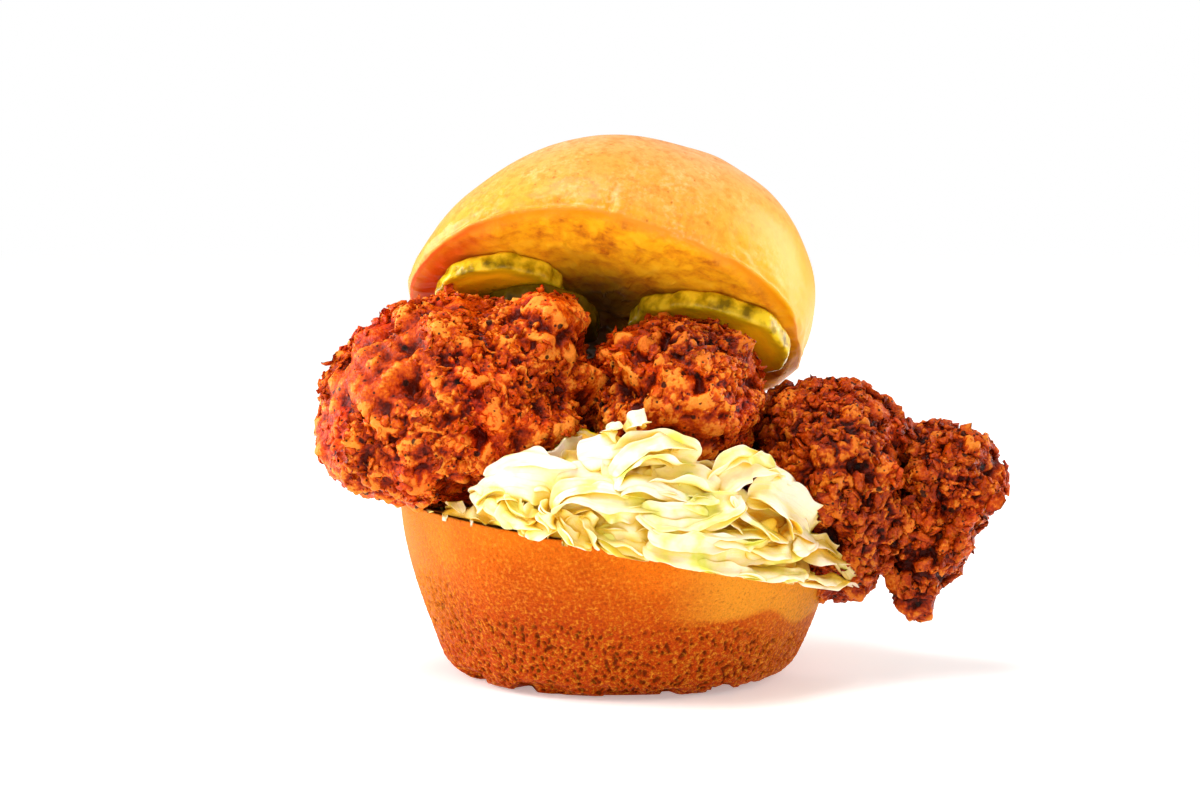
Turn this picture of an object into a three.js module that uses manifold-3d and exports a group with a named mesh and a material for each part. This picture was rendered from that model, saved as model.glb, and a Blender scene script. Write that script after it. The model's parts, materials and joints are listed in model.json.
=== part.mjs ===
// A chicken burger: a split bun, a craggy fried chicken fillet that overhangs
// it on both sides, creamy cabbage slaw below the fillet and pickle slices
// between the fillet and the bun's crown.
//
// Units are millimetres and +Z is up. The origin is the centre of the flat
// foot of the bun's heel. -Y is the front, where the crown is lifted open.

import * as THREE from "three";
import { mergeVertices } from "three/addons/utils/BufferGeometryUtils.js";
import Module from "manifold-3d";

const wasm = await Module();
wasm.setup();

// ---------------------------------------------------------------- sizes

const GAP = 0.35; // air left between two pieces that rest on each other

// Heel: the lower half of the bun, a tapered cup of bread cut on a slant.
const HEEL_RADIUS = 52.5; // at its widest, near the cut
const HEEL_WIDEST = 40; // height of that widest ring
const HEEL_TAPER = 0.0335; // radius lost below it, times depth to a power
const HEEL_TAPER_POWER = 1.6;
const FOOT_ROUND = 5; // height of the rounded edge round the foot
const FOOT_TUCK = 3.6; // how far that edge tucks in
const FOOT_FLATTENING = 0.12; // the foot is this much shorter front to back
const CUT_HEIGHT = 30.5; // height of the cut over the middle of the foot
const CUT_FALL_RIGHT = 0.184; // the cut drops towards +X
const CUT_FALL_BACK = 0.108; // and towards the back

// Crown: the upper half, a dome that leans back on the filling and has sagged
// a little at its sides.
const CROWN_RADIUS = 47.9;
const CROWN_EQUATOR = 5; // height of the widest ring over the cut face
const CROWN_RISE = 33.3; // from there to the top of the dome
const CROWN_FULLNESS = 0.76; // 1 is an ellipse's dome, less is squarer
const CROWN_TUCK = 0.05; // share of the radius lost from there to the cut
const CROWN_TOP_SHIFT = 5.6; // the dome's top lies this far to the right
const CROWN_SAG_LEFT = 9;
const CROWN_SAG_RIGHT = 1.6;
const CROWN_CENTRE = new THREE.Vector3(-2.8, 6, 85);
const CROWN_LEAN = 28; // degrees back from level
const CROWN_ROLL = 15; // degrees down to the right

// Fillet: fused masses of fried chicken. Each is a smooth union of ellipsoid
// lobes (centre, half sizes), star-shaped round its middle.
const FILLET = {
  left: {
    middle: [-37, -12, 66],
    detail: 7,
    lobes: [
      { at: [-36.5, -13, 66], half: [30.5, 31, 23.5] },
      { at: [-53, -18, 57], half: [15.5, 16, 13] },
      { at: [-16.5, -23, 83], half: [8, 12, 8] },
      { at: [-37, -20, 54], half: [23, 22, 9] },
      { at: [-17.5, -30, 57], half: [7, 11, 7.5] },
    ],
  },
  centre: {
    middle: [13, -12, 64],
    detail: 5,
    lobes: [
      { at: [12.5, -13, 65], half: [20, 29, 16.5] },
      { at: [11.5, -23, 78], half: [13.5, 13, 6] },
    ],
  },
  right: {
    middle: [49, -10, 50],
    detail: 5,
    lobes: [
      { at: [47.5, -9, 51], half: [17.5, 25, 17.5] },
      { at: [54, -16, 38], half: [12.5, 13, 12.5] },
    ],
  },
  tail: {
    middle: [74, -11, 40],
    detail: 4,
    lobes: [
      { at: [76, -12, 47], half: [12, 14, 11.5] },
      { at: [71, -9, 33], half: [9.5, 12, 10.5] },
      { at: [69.5, -10, 20.5], half: [5, 6, 7.5] },
      { at: [64, -7, 50], half: [6.5, 10, 8] },
    ],
  },
  flap: {
    middle: [48.5, -10, 24],
    detail: 1,
    lobes: [{ at: [48.5, -10, 24], half: [12, 7, 5.5] }],
  },
  back: {
    middle: [-4, 18, 54],
    detail: 4,
    lobes: [
      { at: [-22, 18, 57], half: [30, 24, 17] },
      { at: [18, 15, 51], half: [27, 25, 15] },
    ],
  },
};
const LOBE_BLEND = 2.5; // how softly neighbouring lobes run together
const CRAG_SIZE = 11;
const FINE_CRAG_SIZE = 6.3;
const CRAG_DEPTH = 1.4;

// Slaw: a heap on the heel's cut, piled up at the front. Its lobes are given
// as if the cut were level, and the heap is then slanted with the cut.
const SLAW_HEAP = {
  middle: [3, -8, 35],
  detail: 5,
  lobes: [
    { at: [0, -1, 33], half: [45, 44.5, 8.5] },
    { at: [6, -36, 41], half: [24, 12, 11] },
    { at: [-17, -37, 37.5], half: [13, 10, 6] },
    { at: [28, -32, 42], half: [11, 12, 9] },
  ],
};
const LEAF_THICKNESS = 1.6; // a shred of cabbage with its coat of dressing

// The large leaves of the front: where each starts, the point that its arc
// leans towards, where it ends, its width and how far it is tipped upright.
const FRONT_LEAVES = [
  { from: [-31, -42, 51], over: [-20, -49, 53], to: [-7, -47, 50], width: 10, tip: 75 },
  { from: [-9, -46, 55], over: [2, -52, 64], to: [10, -46, 59], width: 8, tip: 60 },
  { from: [-3, -50, 51], over: [6, -54, 66], to: [17, -48, 53], width: 9, tip: 50 },
  { from: [-19, -48, 50], over: [4, -56, 46], to: [22, -49, 50], width: 5, tip: 40 },
  { from: [-14, -52, 44], over: [-5, -56, 51], to: [4, -50, 52], width: 8, tip: 60 },
  { from: [4, -53, 49], over: [15, -58, 40], to: [25, -49, 48], width: 6, tip: 30 },
  { from: [-6, -50, 40], over: [12, -57, 35], to: [31, -47, 42], width: 10, tip: 70 },
  { from: [18, -46, 52], over: [27, -50, 58], to: [38, -40, 49], width: 9, tip: 60 },
  { from: [25, -47, 43], over: [33, -48, 47], to: [39, -38, 41], width: 9, tip: 75 },
  { from: [24, -46, 35], over: [33, -46, 29], to: [40, -36, 33], width: 5, tip: 60 },
  { from: [34, -40, 36], over: [44, -34, 34], to: [50, -27, 30], width: 7, tip: 60 },
  { from: [-27, -44, 45], over: [-22, -49, 40], to: [-17, -46, 43], width: 5, tip: 60 },
  { from: [-15, -46, 46], over: [-14, -53, 41], to: [-12, -49, 37], width: 4, tip: 10 },
  { from: [-8, -48, 44], over: [-6, -55, 39], to: [-5, -50, 35], width: 6, tip: 10 },
];

// The shorter leaves that stick out round the sides and the back.
const SIDE_LEAVES = 9;
const SIDE_LEAF_FIRST = -15; // degrees round from +X
const SIDE_LEAF_LAST = 215;
const SIDE_LEAF_SPAN = 15; // degrees that one leaf takes to each side

// Pickles: slices of cucumber, laid in the crown's frame under its cut face
// (across, towards the back, layer below the face). A slice is a little oval,
// longest towards the front right.
const PICKLE_THICKNESS = 4.6;
const PICKLE_LONG_WAY = -45; // degrees
const PICKLES = {
  pickle_left: { across: -26, back: -10, layer: 0, radius: 14.2, oval: 0.02 },
  pickle_middle: { across: -15.5, back: -6, layer: 1, radius: 14, oval: 0.02 },
  pickle_right: { across: 24, back: -9, layer: 0, radius: 18.7, oval: 0.08 },
};
const PICKLE_LOW = { at: [-9.5, -38, 55.5], radius: 6, lean: 55 };

// ---------------------------------------------------------------- helpers

const turn = Math.PI * 2;
const degrees = Math.PI / 180;
const xAxis = new THREE.Vector3(1, 0, 0);
const yAxis = new THREE.Vector3(0, 1, 0);
const zAxis = new THREE.Vector3(0, 0, 1);

/** Soft bumps of one size: three crossed sine waves, from -1 to 1. */
function lumps(p, size, seed) {
  const k = turn / size;
  const a = Math.sin(k * (0.8 * p.x + 0.36 * p.y + 0.48 * p.z) + seed);
  const b = Math.sin(k * (-0.48 * p.x + 0.8 * p.y + 0.36 * p.z) + 2.1 * seed);
  const c = Math.sin(k * (0.36 * p.x - 0.48 * p.y + 0.8 * p.z) + 3.7 * seed);
  return (a + b + c) / 3;
}

/** A geometry's triangles as a solid that can be joined and cut. */
function solidOf(geometry) {
  const bare = geometry.clone();
  for (const name of ["normal", "uv"]) bare.deleteAttribute(name);
  const merged = mergeVertices(bare, 1e-4);
  return new wasm.Manifold(
    new wasm.Mesh({
      numProp: 3,
      vertProperties: merged.attributes.position.array,
      triVerts: new Uint32Array(merged.index.array),
    }),
  );
}

/** The largest body of a solid, as a geometry. */
function geometryOf(solid) {
  const bodies = solid.decompose().sort((a, b) => b.volume() - a.volume());
  const mesh = bodies[0].getMesh();
  return new THREE.BufferGeometry()
    .setAttribute("position", new THREE.BufferAttribute(mesh.vertProperties, 3))
    .setIndex(new THREE.BufferAttribute(mesh.triVerts, 1));
}

/** Moves every vertex of a geometry to where move(vertex) puts it. */
function reshape(geometry, move) {
  const position = geometry.attributes.position;
  const p = new THREE.Vector3();
  for (let i = 0; i < position.count; i++) {
    p.fromBufferAttribute(position, i);
    move(p);
    position.setXYZ(i, p.x, p.y, p.z);
  }
  return geometry;
}

/**
 * A closed body of revolution whose rings are numbered by z, for reshape() to
 * place: ring 0 and the last ring are single points on the axis.
 */
function ringStack(rings, around) {
  const profile = Array.from({ length: rings + 1 }, (_, ring) => {
    const onAxis = ring === 0 || ring === rings;
    return new THREE.Vector2(onAxis ? 0 : 1, ring);
  });
  return new THREE.LatheGeometry(profile, around).rotateX(Math.PI / 2);
}

function named(name, geometry, color, roughness) {
  const material = new THREE.MeshStandardMaterial({
    color,
    roughness,
    metalness: 0,
  });
  const mesh = new THREE.Mesh(geometry, material);
  mesh.name = name;
  return mesh;
}

// ---------------------------------------------------------------- heel

/** Radius of the heel's wall at a height, with the rounded foot. */
function heelRadius(z) {
  const below = Math.max(0, HEEL_WIDEST - z);
  const wall = HEEL_RADIUS - HEEL_TAPER * below ** HEEL_TAPER_POWER;
  const down = Math.max(0, 1 - z / FOOT_ROUND);
  return wall - FOOT_TUCK * (1 - Math.sqrt(1 - down * down));
}

/** How far from round the heel is in one direction at a height. */
function heelWave(angle, z) {
  const flattening = FOOT_FLATTENING * Math.max(0, 1 - z / CUT_HEIGHT);
  const oval = 1 - flattening * Math.sin(angle) ** 2;
  return oval + 0.008 * Math.sin(3 * angle + 1) + 0.006 * Math.sin(5 * angle);
}

/** Height of the slanted cut over a point of the foot. */
function cutHeight(x, y) {
  return CUT_HEIGHT - CUT_FALL_RIGHT * x - CUT_FALL_BACK * y;
}

/** Height at which the wall meets the cut in one direction. */
function rimHeight(angle) {
  let z = CUT_HEIGHT;
  for (let i = 0; i < 6; i++) {
    const r = heelRadius(z);
    z = cutHeight(r * Math.cos(angle), r * Math.sin(angle));
  }
  return z;
}

/** The heel, grown by `grow` all round where another piece is cut clear. */
function heelGeometry(grow = 0) {
  const footRings = 2;
  const wallRings = 9;
  const cutRings = 4;
  const rings = footRings + wallRings + cutRings;
  return reshape(ringStack(rings, 36), (p) => {
    const ring = Math.round(p.z);
    const angle = Math.atan2(p.y, p.x);
    const upWall = Math.min(1, Math.max(0, (ring - footRings) / wallRings));
    const inCut = Math.max(0, ring - footRings - wallRings) / cutRings;
    const z = rimHeight(angle) * upWall ** 1.4;
    let r = heelRadius(z) * heelWave(angle, z);
    if (upWall === 0) r *= ring / footRings;
    else r = (r + grow) * (1 - inCut);
    p.set(r * Math.cos(angle), r * Math.sin(angle), z);
    if (upWall === 0) p.z -= grow;
    if (upWall === 1) p.z = cutHeight(p.x, p.y) + grow;
    if (inCut > 0) p.z += 0.5 * lumps(p, 31, 2);
  });
}

// ---------------------------------------------------------------- crown

const crownTurn = new THREE.Quaternion()
  .setFromAxisAngle(xAxis, -CROWN_LEAN * degrees)
  .premultiply(
    new THREE.Quaternion().setFromAxisAngle(yAxis, CROWN_ROLL * degrees),
  );

/** From the crown's own frame, cut face down and flat, to its place. */
function placeOnCrown(p) {
  const sag = p.x < 0 ? CROWN_SAG_LEFT : CROWN_SAG_RIGHT;
  const lift = Math.max(0, (p.z - CROWN_EQUATOR) / CROWN_RISE);
  p.z -= sag * (p.x / CROWN_RADIUS) ** 2;
  p.x += CROWN_TOP_SHIFT * lift;
  return p.applyQuaternion(crownTurn).add(CROWN_CENTRE);
}

/** Radius and height of the dome's skin, from the rim (0) to the top (1). */
function domeProfile(share) {
  const tuckedShare = 0.16;
  if (share < tuckedShare) {
    const down = 1 - share / tuckedShare;
    return [CROWN_RADIUS * (1 - CROWN_TUCK * down * down), CROWN_EQUATOR * (1 - down)];
  }
  const bow = (((share - tuckedShare) / (1 - tuckedShare)) * Math.PI) / 2;
  const radius = CROWN_RADIUS * Math.cos(bow) ** CROWN_FULLNESS;
  return [radius, CROWN_EQUATOR + CROWN_RISE * Math.sin(bow)];
}

/** The crown, grown by `grow` all round. */
function crownGeometry(grow = 0) {
  const faceRings = 4;
  const domeRings = 12;
  const rings = faceRings + domeRings;
  return reshape(ringStack(rings, 36), (p) => {
    const ring = Math.round(p.z);
    const angle = Math.atan2(p.y, p.x);
    const share = Math.max(0, (ring - faceRings) / domeRings);
    let [r, z] = domeProfile(share);
    if (ring < faceRings) r *= ring / faceRings;
    if (ring === rings) r = 0;
    r *= 1 + 0.008 * Math.sin(2 * angle + 0.6) + 0.006 * Math.sin(5 * angle);
    if (r > 0) r += grow;
    z += share > 0 ? grow : -grow;
    p.set(r * Math.cos(angle), r * Math.sin(angle), z);
    p.z += share * 0.7 * lumps(p, 34, 1);
    placeOnCrown(p);
  });
}

// ---------------------------------------------------------------- masses

/** Signed depth of a point in a group of lobes: below zero inside. */
function lobeField(p, lobes) {
  let sum = 0;
  for (const { at, half } of lobes) {
    const q = Math.hypot(
      (p.x - at[0]) / half[0],
      (p.y - at[1]) / half[1],
      (p.z - at[2]) / half[2],
    );
    sum += Math.exp(-((q - 1) * Math.min(...half)) / LOBE_BLEND);
  }
  return -LOBE_BLEND * Math.log(sum);
}

/** Distance from a mass's middle to its skin along a direction. */
function skinReach(direction, middle, lobes) {
  let near = 0;
  let far = 90;
  const p = new THREE.Vector3();
  for (let i = 0; i < 26; i++) {
    const reach = (near + far) / 2;
    p.copy(direction).multiplyScalar(reach).add(middle);
    if (lobeField(p, lobes) < 0) near = reach;
    else far = reach;
  }
  return near;
}

/** A mass's skin, moved out along its rays by relief(point). */
function massGeometry(mass, relief) {
  const middle = new THREE.Vector3(...mass.middle);
  const direction = new THREE.Vector3();
  return reshape(new THREE.IcosahedronGeometry(1, mass.detail), (p) => {
    direction.copy(p).normalize();
    const reach = skinReach(direction, middle, mass.lobes);
    p.copy(direction).multiplyScalar(reach).add(middle);
    p.addScaledVector(direction, relief(p));
  });
}

// ---------------------------------------------------------------- fillet

/** Height of the fried crust's crags at a point. */
function crag(p) {
  return CRAG_DEPTH * (lumps(p, CRAG_SIZE, 4) + 0.7 * lumps(p, FINE_CRAG_SIZE, 9));
}

function filletSolid(grow = 0) {
  return Object.values(FILLET)
    .map((mass) => solidOf(massGeometry(mass, (p) => crag(p) + grow)))
    .reduce((whole, mass) => whole.add(mass));
}

// ---------------------------------------------------------------- slaw

/**
 * A leaf of cabbage: a thin strip along an arc, tipped by `tip` degrees from
 * lying flat, narrowed at its ends and ruffled along its edges.
 */
function leafGeometry({ from, over, to, width, tip }, seed) {
  const arc = new THREE.QuadraticBezierCurve3(
    new THREE.Vector3(...from),
    new THREE.Vector3(...over),
    new THREE.Vector3(...to),
  );
  const along = new THREE.Vector3();
  const across = new THREE.Vector3();
  const out = new THREE.Vector3();
  const middle = new THREE.Vector3();
  return reshape(new THREE.BoxGeometry(1, 2, 1, 7, 2, 1), (p) => {
    const share = p.x + 0.5;
    const side = p.y;
    const layer = p.z;
    arc.getPoint(share, middle);
    arc.getTangent(share, along);
    across.crossVectors(zAxis, along).normalize();
    across.applyAxisAngle(along, (tip + 20 * Math.sin(4 * share + seed)) * degrees);
    out.crossVectors(along, across);
    const taper = 0.55 + 0.45 * Math.sin(Math.PI * (0.12 + 0.76 * share));
    const ruffle = 0.09 * width * side * Math.sin(9 * share + 2 * seed);
    const cup = 0.1 * width * side * side;
    p.copy(middle)
      .addScaledVector(across, (side * width * taper) / 2)
      .addScaledVector(out, layer * LEAF_THICKNESS + ruffle - cup);
  });
}

/** The leaves that stick out between the heel and the fillet. */
function sideLeaves() {
  const range = SIDE_LEAF_LAST - SIDE_LEAF_FIRST;
  return Array.from({ length: SIDE_LEAVES }, (_, i) => {
    const middle = SIDE_LEAF_FIRST + (range * (i + 0.5)) / SIDE_LEAVES;
    const lift = 6 + 3 * Math.sin(2.3 * i);
    const place = (angle, radius, up) => {
      const x = radius * Math.cos(angle * degrees);
      const y = radius * Math.sin(angle * degrees);
      return [x, y, cutHeight(x, y) + up];
    };
    return {
      from: place(middle - SIDE_LEAF_SPAN, 42, lift),
      over: place(middle, 48 + 2 * Math.sin(1.7 * i), lift - 3),
      to: place(middle + SIDE_LEAF_SPAN, 42, lift + 2 * Math.cos(3.1 * i)),
      width: 7 + 2 * Math.sin(4.1 * i),
      tip: 130 + 25 * Math.sin(1.3 * i),
    };
  });
}

function slawSolid() {
  const heap = massGeometry(SLAW_HEAP, (p) => 0.8 * lumps(p, 9, 5));
  const slanted = reshape(heap, (p) => {
    p.z += cutHeight(p.x, p.y) - CUT_HEIGHT;
  });
  return [...FRONT_LEAVES, ...sideLeaves()]
    .map((leaf, seed) => solidOf(leafGeometry(leaf, seed)))
    .reduce((whole, leaf) => whole.add(leaf), solidOf(slanted));
}

// ---------------------------------------------------------------- pickles

/** A slice of pickle lying flat round the origin, with a knobbly rind. */
function sliceGeometry({ radius, oval = 0 }, grow, seed) {
  const rings = 7;
  const half = PICKLE_THICKNESS / 2;
  return reshape(ringStack(rings, 22), (p) => {
    const ring = Math.round(p.z);
    const angle = Math.atan2(p.y, p.x);
    const reach = [0, 0.55, 0.95, 1, 1, 0.95, 0.55, 0][ring];
    const height = [-1, -1, -1, -0.6, 0.6, 1, 1, 1][ring];
    const knobs = 0.02 * Math.sin(7 * angle + seed) + 0.015 * Math.sin(11 * angle);
    const long = oval * Math.cos(2 * (angle - PICKLE_LONG_WAY * degrees));
    const r = reach * (radius * (1 + knobs + long) + grow);
    p.set(r * Math.cos(angle), r * Math.sin(angle), height * (half + grow));
  });
}

/** A slice laid under the crown, bent with the sag of its face. */
function pickleGeometry(pickle, grow, seed) {
  const { across, back, layer } = pickle;
  const depth = GAP + PICKLE_THICKNESS / 2 + layer * (PICKLE_THICKNESS + GAP);
  return reshape(sliceGeometry(pickle, grow, seed), (p) => {
    p.x += across;
    p.y += back;
    p.z -= depth;
    placeOnCrown(p);
  });
}

/** The small piece of pickle that shows between the fillet and the slaw. */
function lowPickleGeometry(grow) {
  const { at, lean } = PICKLE_LOW;
  return sliceGeometry(PICKLE_LOW, grow, 3)
    .rotateX(lean * degrees)
    .translate(...at);
}

// ---------------------------------------------------------------- assembly

const pickleShapes = {
  ...Object.fromEntries(
    Object.entries(PICKLES).map(([name, pickle], i) => [
      name,
      (grow) => solidOf(pickleGeometry(pickle, grow, i)),
    ]),
  ),
  pickle_low: (grow) => solidOf(lowPickleGeometry(grow)),
};

const heel = solidOf(heelGeometry());
const crown = solidOf(crownGeometry());
const heelRoom = solidOf(heelGeometry(GAP));
const crownRoom = solidOf(crownGeometry(GAP));
const pickleRoom = Object.values(pickleShapes)
  .map((shape) => shape(GAP))
  .reduce((all, pickle) => all.add(pickle));

const fillet = filletSolid().subtract(heelRoom).subtract(crownRoom).subtract(pickleRoom);
const filletRoom = filletSolid(GAP);
const slaw = slawSolid().subtract(heelRoom).subtract(filletRoom).subtract(pickleRoom);

const burger = new THREE.Group();
burger.name = "chicken_burger";
burger.add(
  named("heel", geometryOf(heel), "#d9842b", 0.6),
  named("crown", geometryOf(crown), "#e9a94f", 0.4),
  named("chicken", geometryOf(fillet), "#b3491a", 0.5),
  named("slaw", geometryOf(slaw), "#f6f0c8", 0.35),
);
for (const [name, shape] of Object.entries(pickleShapes)) {
  burger.add(named(name, geometryOf(shape(0)), "#a99a2a", 0.3));
}

export default burger;
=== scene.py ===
# %% [markdown]
# # A chicken burger
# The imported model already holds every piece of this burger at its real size: the
# heel and the crown of the bun, one fried fillet, a heap of slaw and four slices
# of pickle. This notebook makes the surfaces that an eye would look for: crags
# and crumbs on the crust, pores in the bread, folds in the cabbage. Each piece
# is a formula on a grid of two parameters, worked out by numpy for all points at
# once, because that is quick and can be read as a recipe. Lengths are in
# millimetres until a mesh is made, which turns them to metres.

# %% The frame and its box
import itertools
import json
import math

import bmesh
import bpy
import numpy as np
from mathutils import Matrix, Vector

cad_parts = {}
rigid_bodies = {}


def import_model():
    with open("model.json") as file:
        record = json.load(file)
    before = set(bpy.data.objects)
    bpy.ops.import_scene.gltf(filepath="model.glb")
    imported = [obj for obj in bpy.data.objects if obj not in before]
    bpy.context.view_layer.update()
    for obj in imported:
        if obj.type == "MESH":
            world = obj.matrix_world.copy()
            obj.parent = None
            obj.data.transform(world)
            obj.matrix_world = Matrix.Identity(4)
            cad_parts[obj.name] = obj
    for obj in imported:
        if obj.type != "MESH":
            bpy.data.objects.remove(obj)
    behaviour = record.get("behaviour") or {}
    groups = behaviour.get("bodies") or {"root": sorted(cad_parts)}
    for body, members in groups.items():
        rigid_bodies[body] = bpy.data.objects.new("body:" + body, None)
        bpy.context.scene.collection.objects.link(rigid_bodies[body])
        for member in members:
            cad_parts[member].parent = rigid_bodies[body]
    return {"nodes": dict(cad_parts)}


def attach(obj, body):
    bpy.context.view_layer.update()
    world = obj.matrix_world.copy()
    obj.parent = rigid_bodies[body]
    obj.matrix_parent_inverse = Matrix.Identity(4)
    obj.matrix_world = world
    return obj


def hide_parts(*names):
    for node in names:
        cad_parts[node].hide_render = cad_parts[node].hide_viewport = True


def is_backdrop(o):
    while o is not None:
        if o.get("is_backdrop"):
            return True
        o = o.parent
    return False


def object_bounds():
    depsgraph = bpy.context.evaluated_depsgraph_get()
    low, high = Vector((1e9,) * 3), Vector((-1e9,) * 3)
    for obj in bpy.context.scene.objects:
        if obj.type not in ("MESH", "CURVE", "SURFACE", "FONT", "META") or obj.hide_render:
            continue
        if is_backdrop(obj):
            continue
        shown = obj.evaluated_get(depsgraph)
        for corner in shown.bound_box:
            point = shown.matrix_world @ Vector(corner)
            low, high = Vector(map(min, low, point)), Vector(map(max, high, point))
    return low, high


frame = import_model()
cad_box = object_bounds()
MM = 0.001
print("nodes:", sorted(frame["nodes"]))

# %% [markdown]
# ## Noise
# Food is uneven at every scale, and unevenness is made from noise. Two kinds do
# nearly all the work. Soft noise rolls like dough. Cell noise measures how far a
# point is from the nearest of many scattered seeds, so it gives round knobs with
# sharp creases between them, as crumbs and bubbles have. Both come from one
# scrambling rule, so that every run gives the same burger. The last number of
# each call is its seed, which differs from call to call and means nothing else.

# %% Scrambled numbers, soft noise and cell noise
ODD = [np.uint32(n) for n in (374761393, 668265263, 2246822519, 3266489917, 1274126177)]


def scramble(cell, seed):
    """A repeatable random whole number for each cube of space: its three indices
    are multiplied by large odd numbers and added, then mixed by shift and xor."""
    x, y, z = (cell[..., axis].astype(np.uint32) * ODD[axis] for axis in range(3))
    mixed = x + y + z + np.uint32(seed * int(ODD[3]) % 2**32)
    mixed = (mixed ^ (mixed >> np.uint32(13))) * ODD[4]
    return mixed ^ (mixed >> np.uint32(16))


def soft_noise(p, size, seed):
    """Smooth noise from -1 to 1: random values at the corners of cubes of `size`
    mm, blended across each cube by 3t² - 2t³."""
    q = p / size
    base = np.floor(q).astype(np.int32)
    t = q - base
    t = t * t * (3 - 2 * t)
    total = np.zeros(len(p))
    for corner in itertools.product((0, 1), repeat=3):
        weight = np.prod(np.where(corner, t, 1 - t), axis=-1)
        total += weight * scramble(base + np.array(corner, np.int32), seed)
    return total / 2**31 - 1


def cell_noise(p, size, seed):
    """Distance, in units of `size` mm, from each point to the nearest of seeds
    scattered one to a cube: the least over the 27 cubes round the point."""
    q = (p / size).astype(np.float32)
    base = np.floor(q).astype(np.int32)
    nearest = np.full(len(p), 9, np.float32)
    for step in itertools.product((-1, 0, 1), repeat=3):
        cell = base + np.array(step, np.int32)
        bits = scramble(cell, seed)
        away = np.zeros(len(p), np.float32)
        for axis in range(3):
            jitter = ((bits >> np.uint32(10 * axis)) & np.uint32(1023)) / np.float32(1023)
            away += (cell[:, axis] + jitter - q[:, axis]) ** 2
        nearest = np.minimum(nearest, away)
    return np.sqrt(nearest)


def knobs(p, size, seed):
    """Round bumps from 0 to 1: one less the square of the cell distance."""
    return 1 - np.clip(cell_noise(p, size, seed), 0, 1) ** 2


def wander(p, size, seed):
    """Three soft noises as a vector, to push a pattern out of its straight grid."""
    return np.stack([soft_noise(p, size, seed + i) for i in range(3)], axis=-1)


trial = np.linspace([0, 0, 0], [90, 50, 20], 1000)
for noise in (soft_noise, knobs):
    values = noise(trial, 3, 1)
    print(f"{noise.__name__} spans {values.min():.2f} to {values.max():.2f}")

# %% Curves and vectors
def ease(x, low, high):
    """0 below `low`, 1 above `high` and a smooth 3t² - 2t³ between."""
    t = np.clip((x - low) / (high - low), 0, 1)
    return t * t * (3 - 2 * t)


def bell(x, width):
    """e to the minus square of x over the width: 1 at 0, near 0 at twice the width."""
    return np.exp(-((x / width) ** 2))


def unit(vectors, least=0.0):
    """Each vector over its length, to which a least length can be added where a
    vector may be nothing."""
    return vectors / (np.linalg.norm(vectors, axis=1)[:, None] + least)


def raised(p, by):
    """A copy of the points with `by` mm added to their heights."""
    p = p.copy()
    p[:, 2] += by
    return p


def full_turn(around):
    """A row of angles in radians, in equal steps, once round."""
    return np.linspace(0, 2 * np.pi, around, endpoint=False)[None, :]


def polar(radius, angle, z):
    """Points from radius r, angle a and height z: x = r cos a, y = r sin a."""
    x, y = radius * np.cos(angle), radius * np.sin(angle)
    return np.stack(np.broadcast_arrays(x, y, z), axis=-1)


def about_x(angle):
    """The 3 by 3 matrix of a turn about X."""
    c, s = math.cos(angle), math.sin(angle)
    return np.array([[1, 0, 0], [0, c, -s], [0, s, c]])


# %% [markdown]
# ## From arrays to a mesh
# A grid of points becomes a mesh by joining each point to its neighbours. A
# closed shape that runs round an axis is joined to itself at the seam, and its
# two ends shrink to a single point each, so that the skin has no hole. Numbers
# that the colours need, such as how high a point sits on a crag, are stored on
# the mesh as attributes.

# %% Grids and meshes
def wrapped_grid(rows, columns):
    """Faces of a closed skin: a first point, `rows` rings of `columns` points, and
    a last point. Rings are joined by quads and the end points by triangles."""
    ring = 1 + np.arange(rows)[:, None] * columns
    here = np.arange(columns)
    after = (here + 1) % columns
    low, high = ring[:-1], ring[1:]
    quads = np.stack([low + here, low + after, high + after, high + here], axis=-1)
    first = np.stack([np.zeros(columns, int), 1 + after, 1 + here], axis=-1)
    last_ring = 1 + (rows - 1) * columns
    tip = np.full(columns, 1 + rows * columns)
    last = np.stack([last_ring + here, last_ring + after, tip], axis=-1)
    return [quads.reshape(-1, 4), first, last]


def flat_skin(grid, first, last):
    """Points in the order that wrapped_grid joins them: (rows, columns, 3)."""
    return np.concatenate([[first], grid.reshape(-1, 3), [last]])


def with_ends(values, first=0, last=0):
    """A number for each point of a wrapped grid, with those of its two ends."""
    return np.concatenate([[first], values, [last]])


KEPT_OUTSIDE = 0.6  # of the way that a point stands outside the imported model's box


def near_box(p):
    """Points outside the box come back to a share of their way out."""
    low, high = np.array(cad_box) / MM
    inside = np.clip(p, low, high)
    return inside + KEPT_OUTSIDE * (p - inside)


def make_piece(name, points, face_sets, slot, replaces, **attributes):
    """A smooth mesh piece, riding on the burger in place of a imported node, from
    points in mm, arrays of faces of three or four corners, and a number for each
    point by attribute."""
    mesh = bpy.data.meshes.new(name)
    corners = np.concatenate([faces.ravel() for faces in face_sets]).astype(np.int32)
    sides = np.concatenate([np.full(len(f), f.shape[1]) for f in face_sets])
    starts = np.concatenate([[0], np.cumsum(sides)[:-1]]).astype(np.int32)
    mesh.vertices.add(len(points))
    mesh.vertices.foreach_set("co", (near_box(points) * MM).astype(np.float32).ravel())
    mesh.loops.add(len(corners))
    mesh.loops.foreach_set("vertex_index", corners)
    mesh.polygons.add(len(sides))
    mesh.polygons.foreach_set("loop_start", starts)
    mesh.polygons.foreach_set("use_smooth", np.ones(len(sides), bool))
    for key, values in attributes.items():
        layer = mesh.attributes.new(key, "FLOAT", "POINT")
        layer.data.foreach_set("value", np.asarray(values, np.float32))
    mesh.update(calc_edges=True)
    piece = bpy.data.objects.new(name, mesh)
    bpy.context.collection.objects.link(piece)
    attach(piece, "root")
    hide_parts(replaces)
    print(f"{name}: {int((sides - 2).sum())} triangles")


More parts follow.
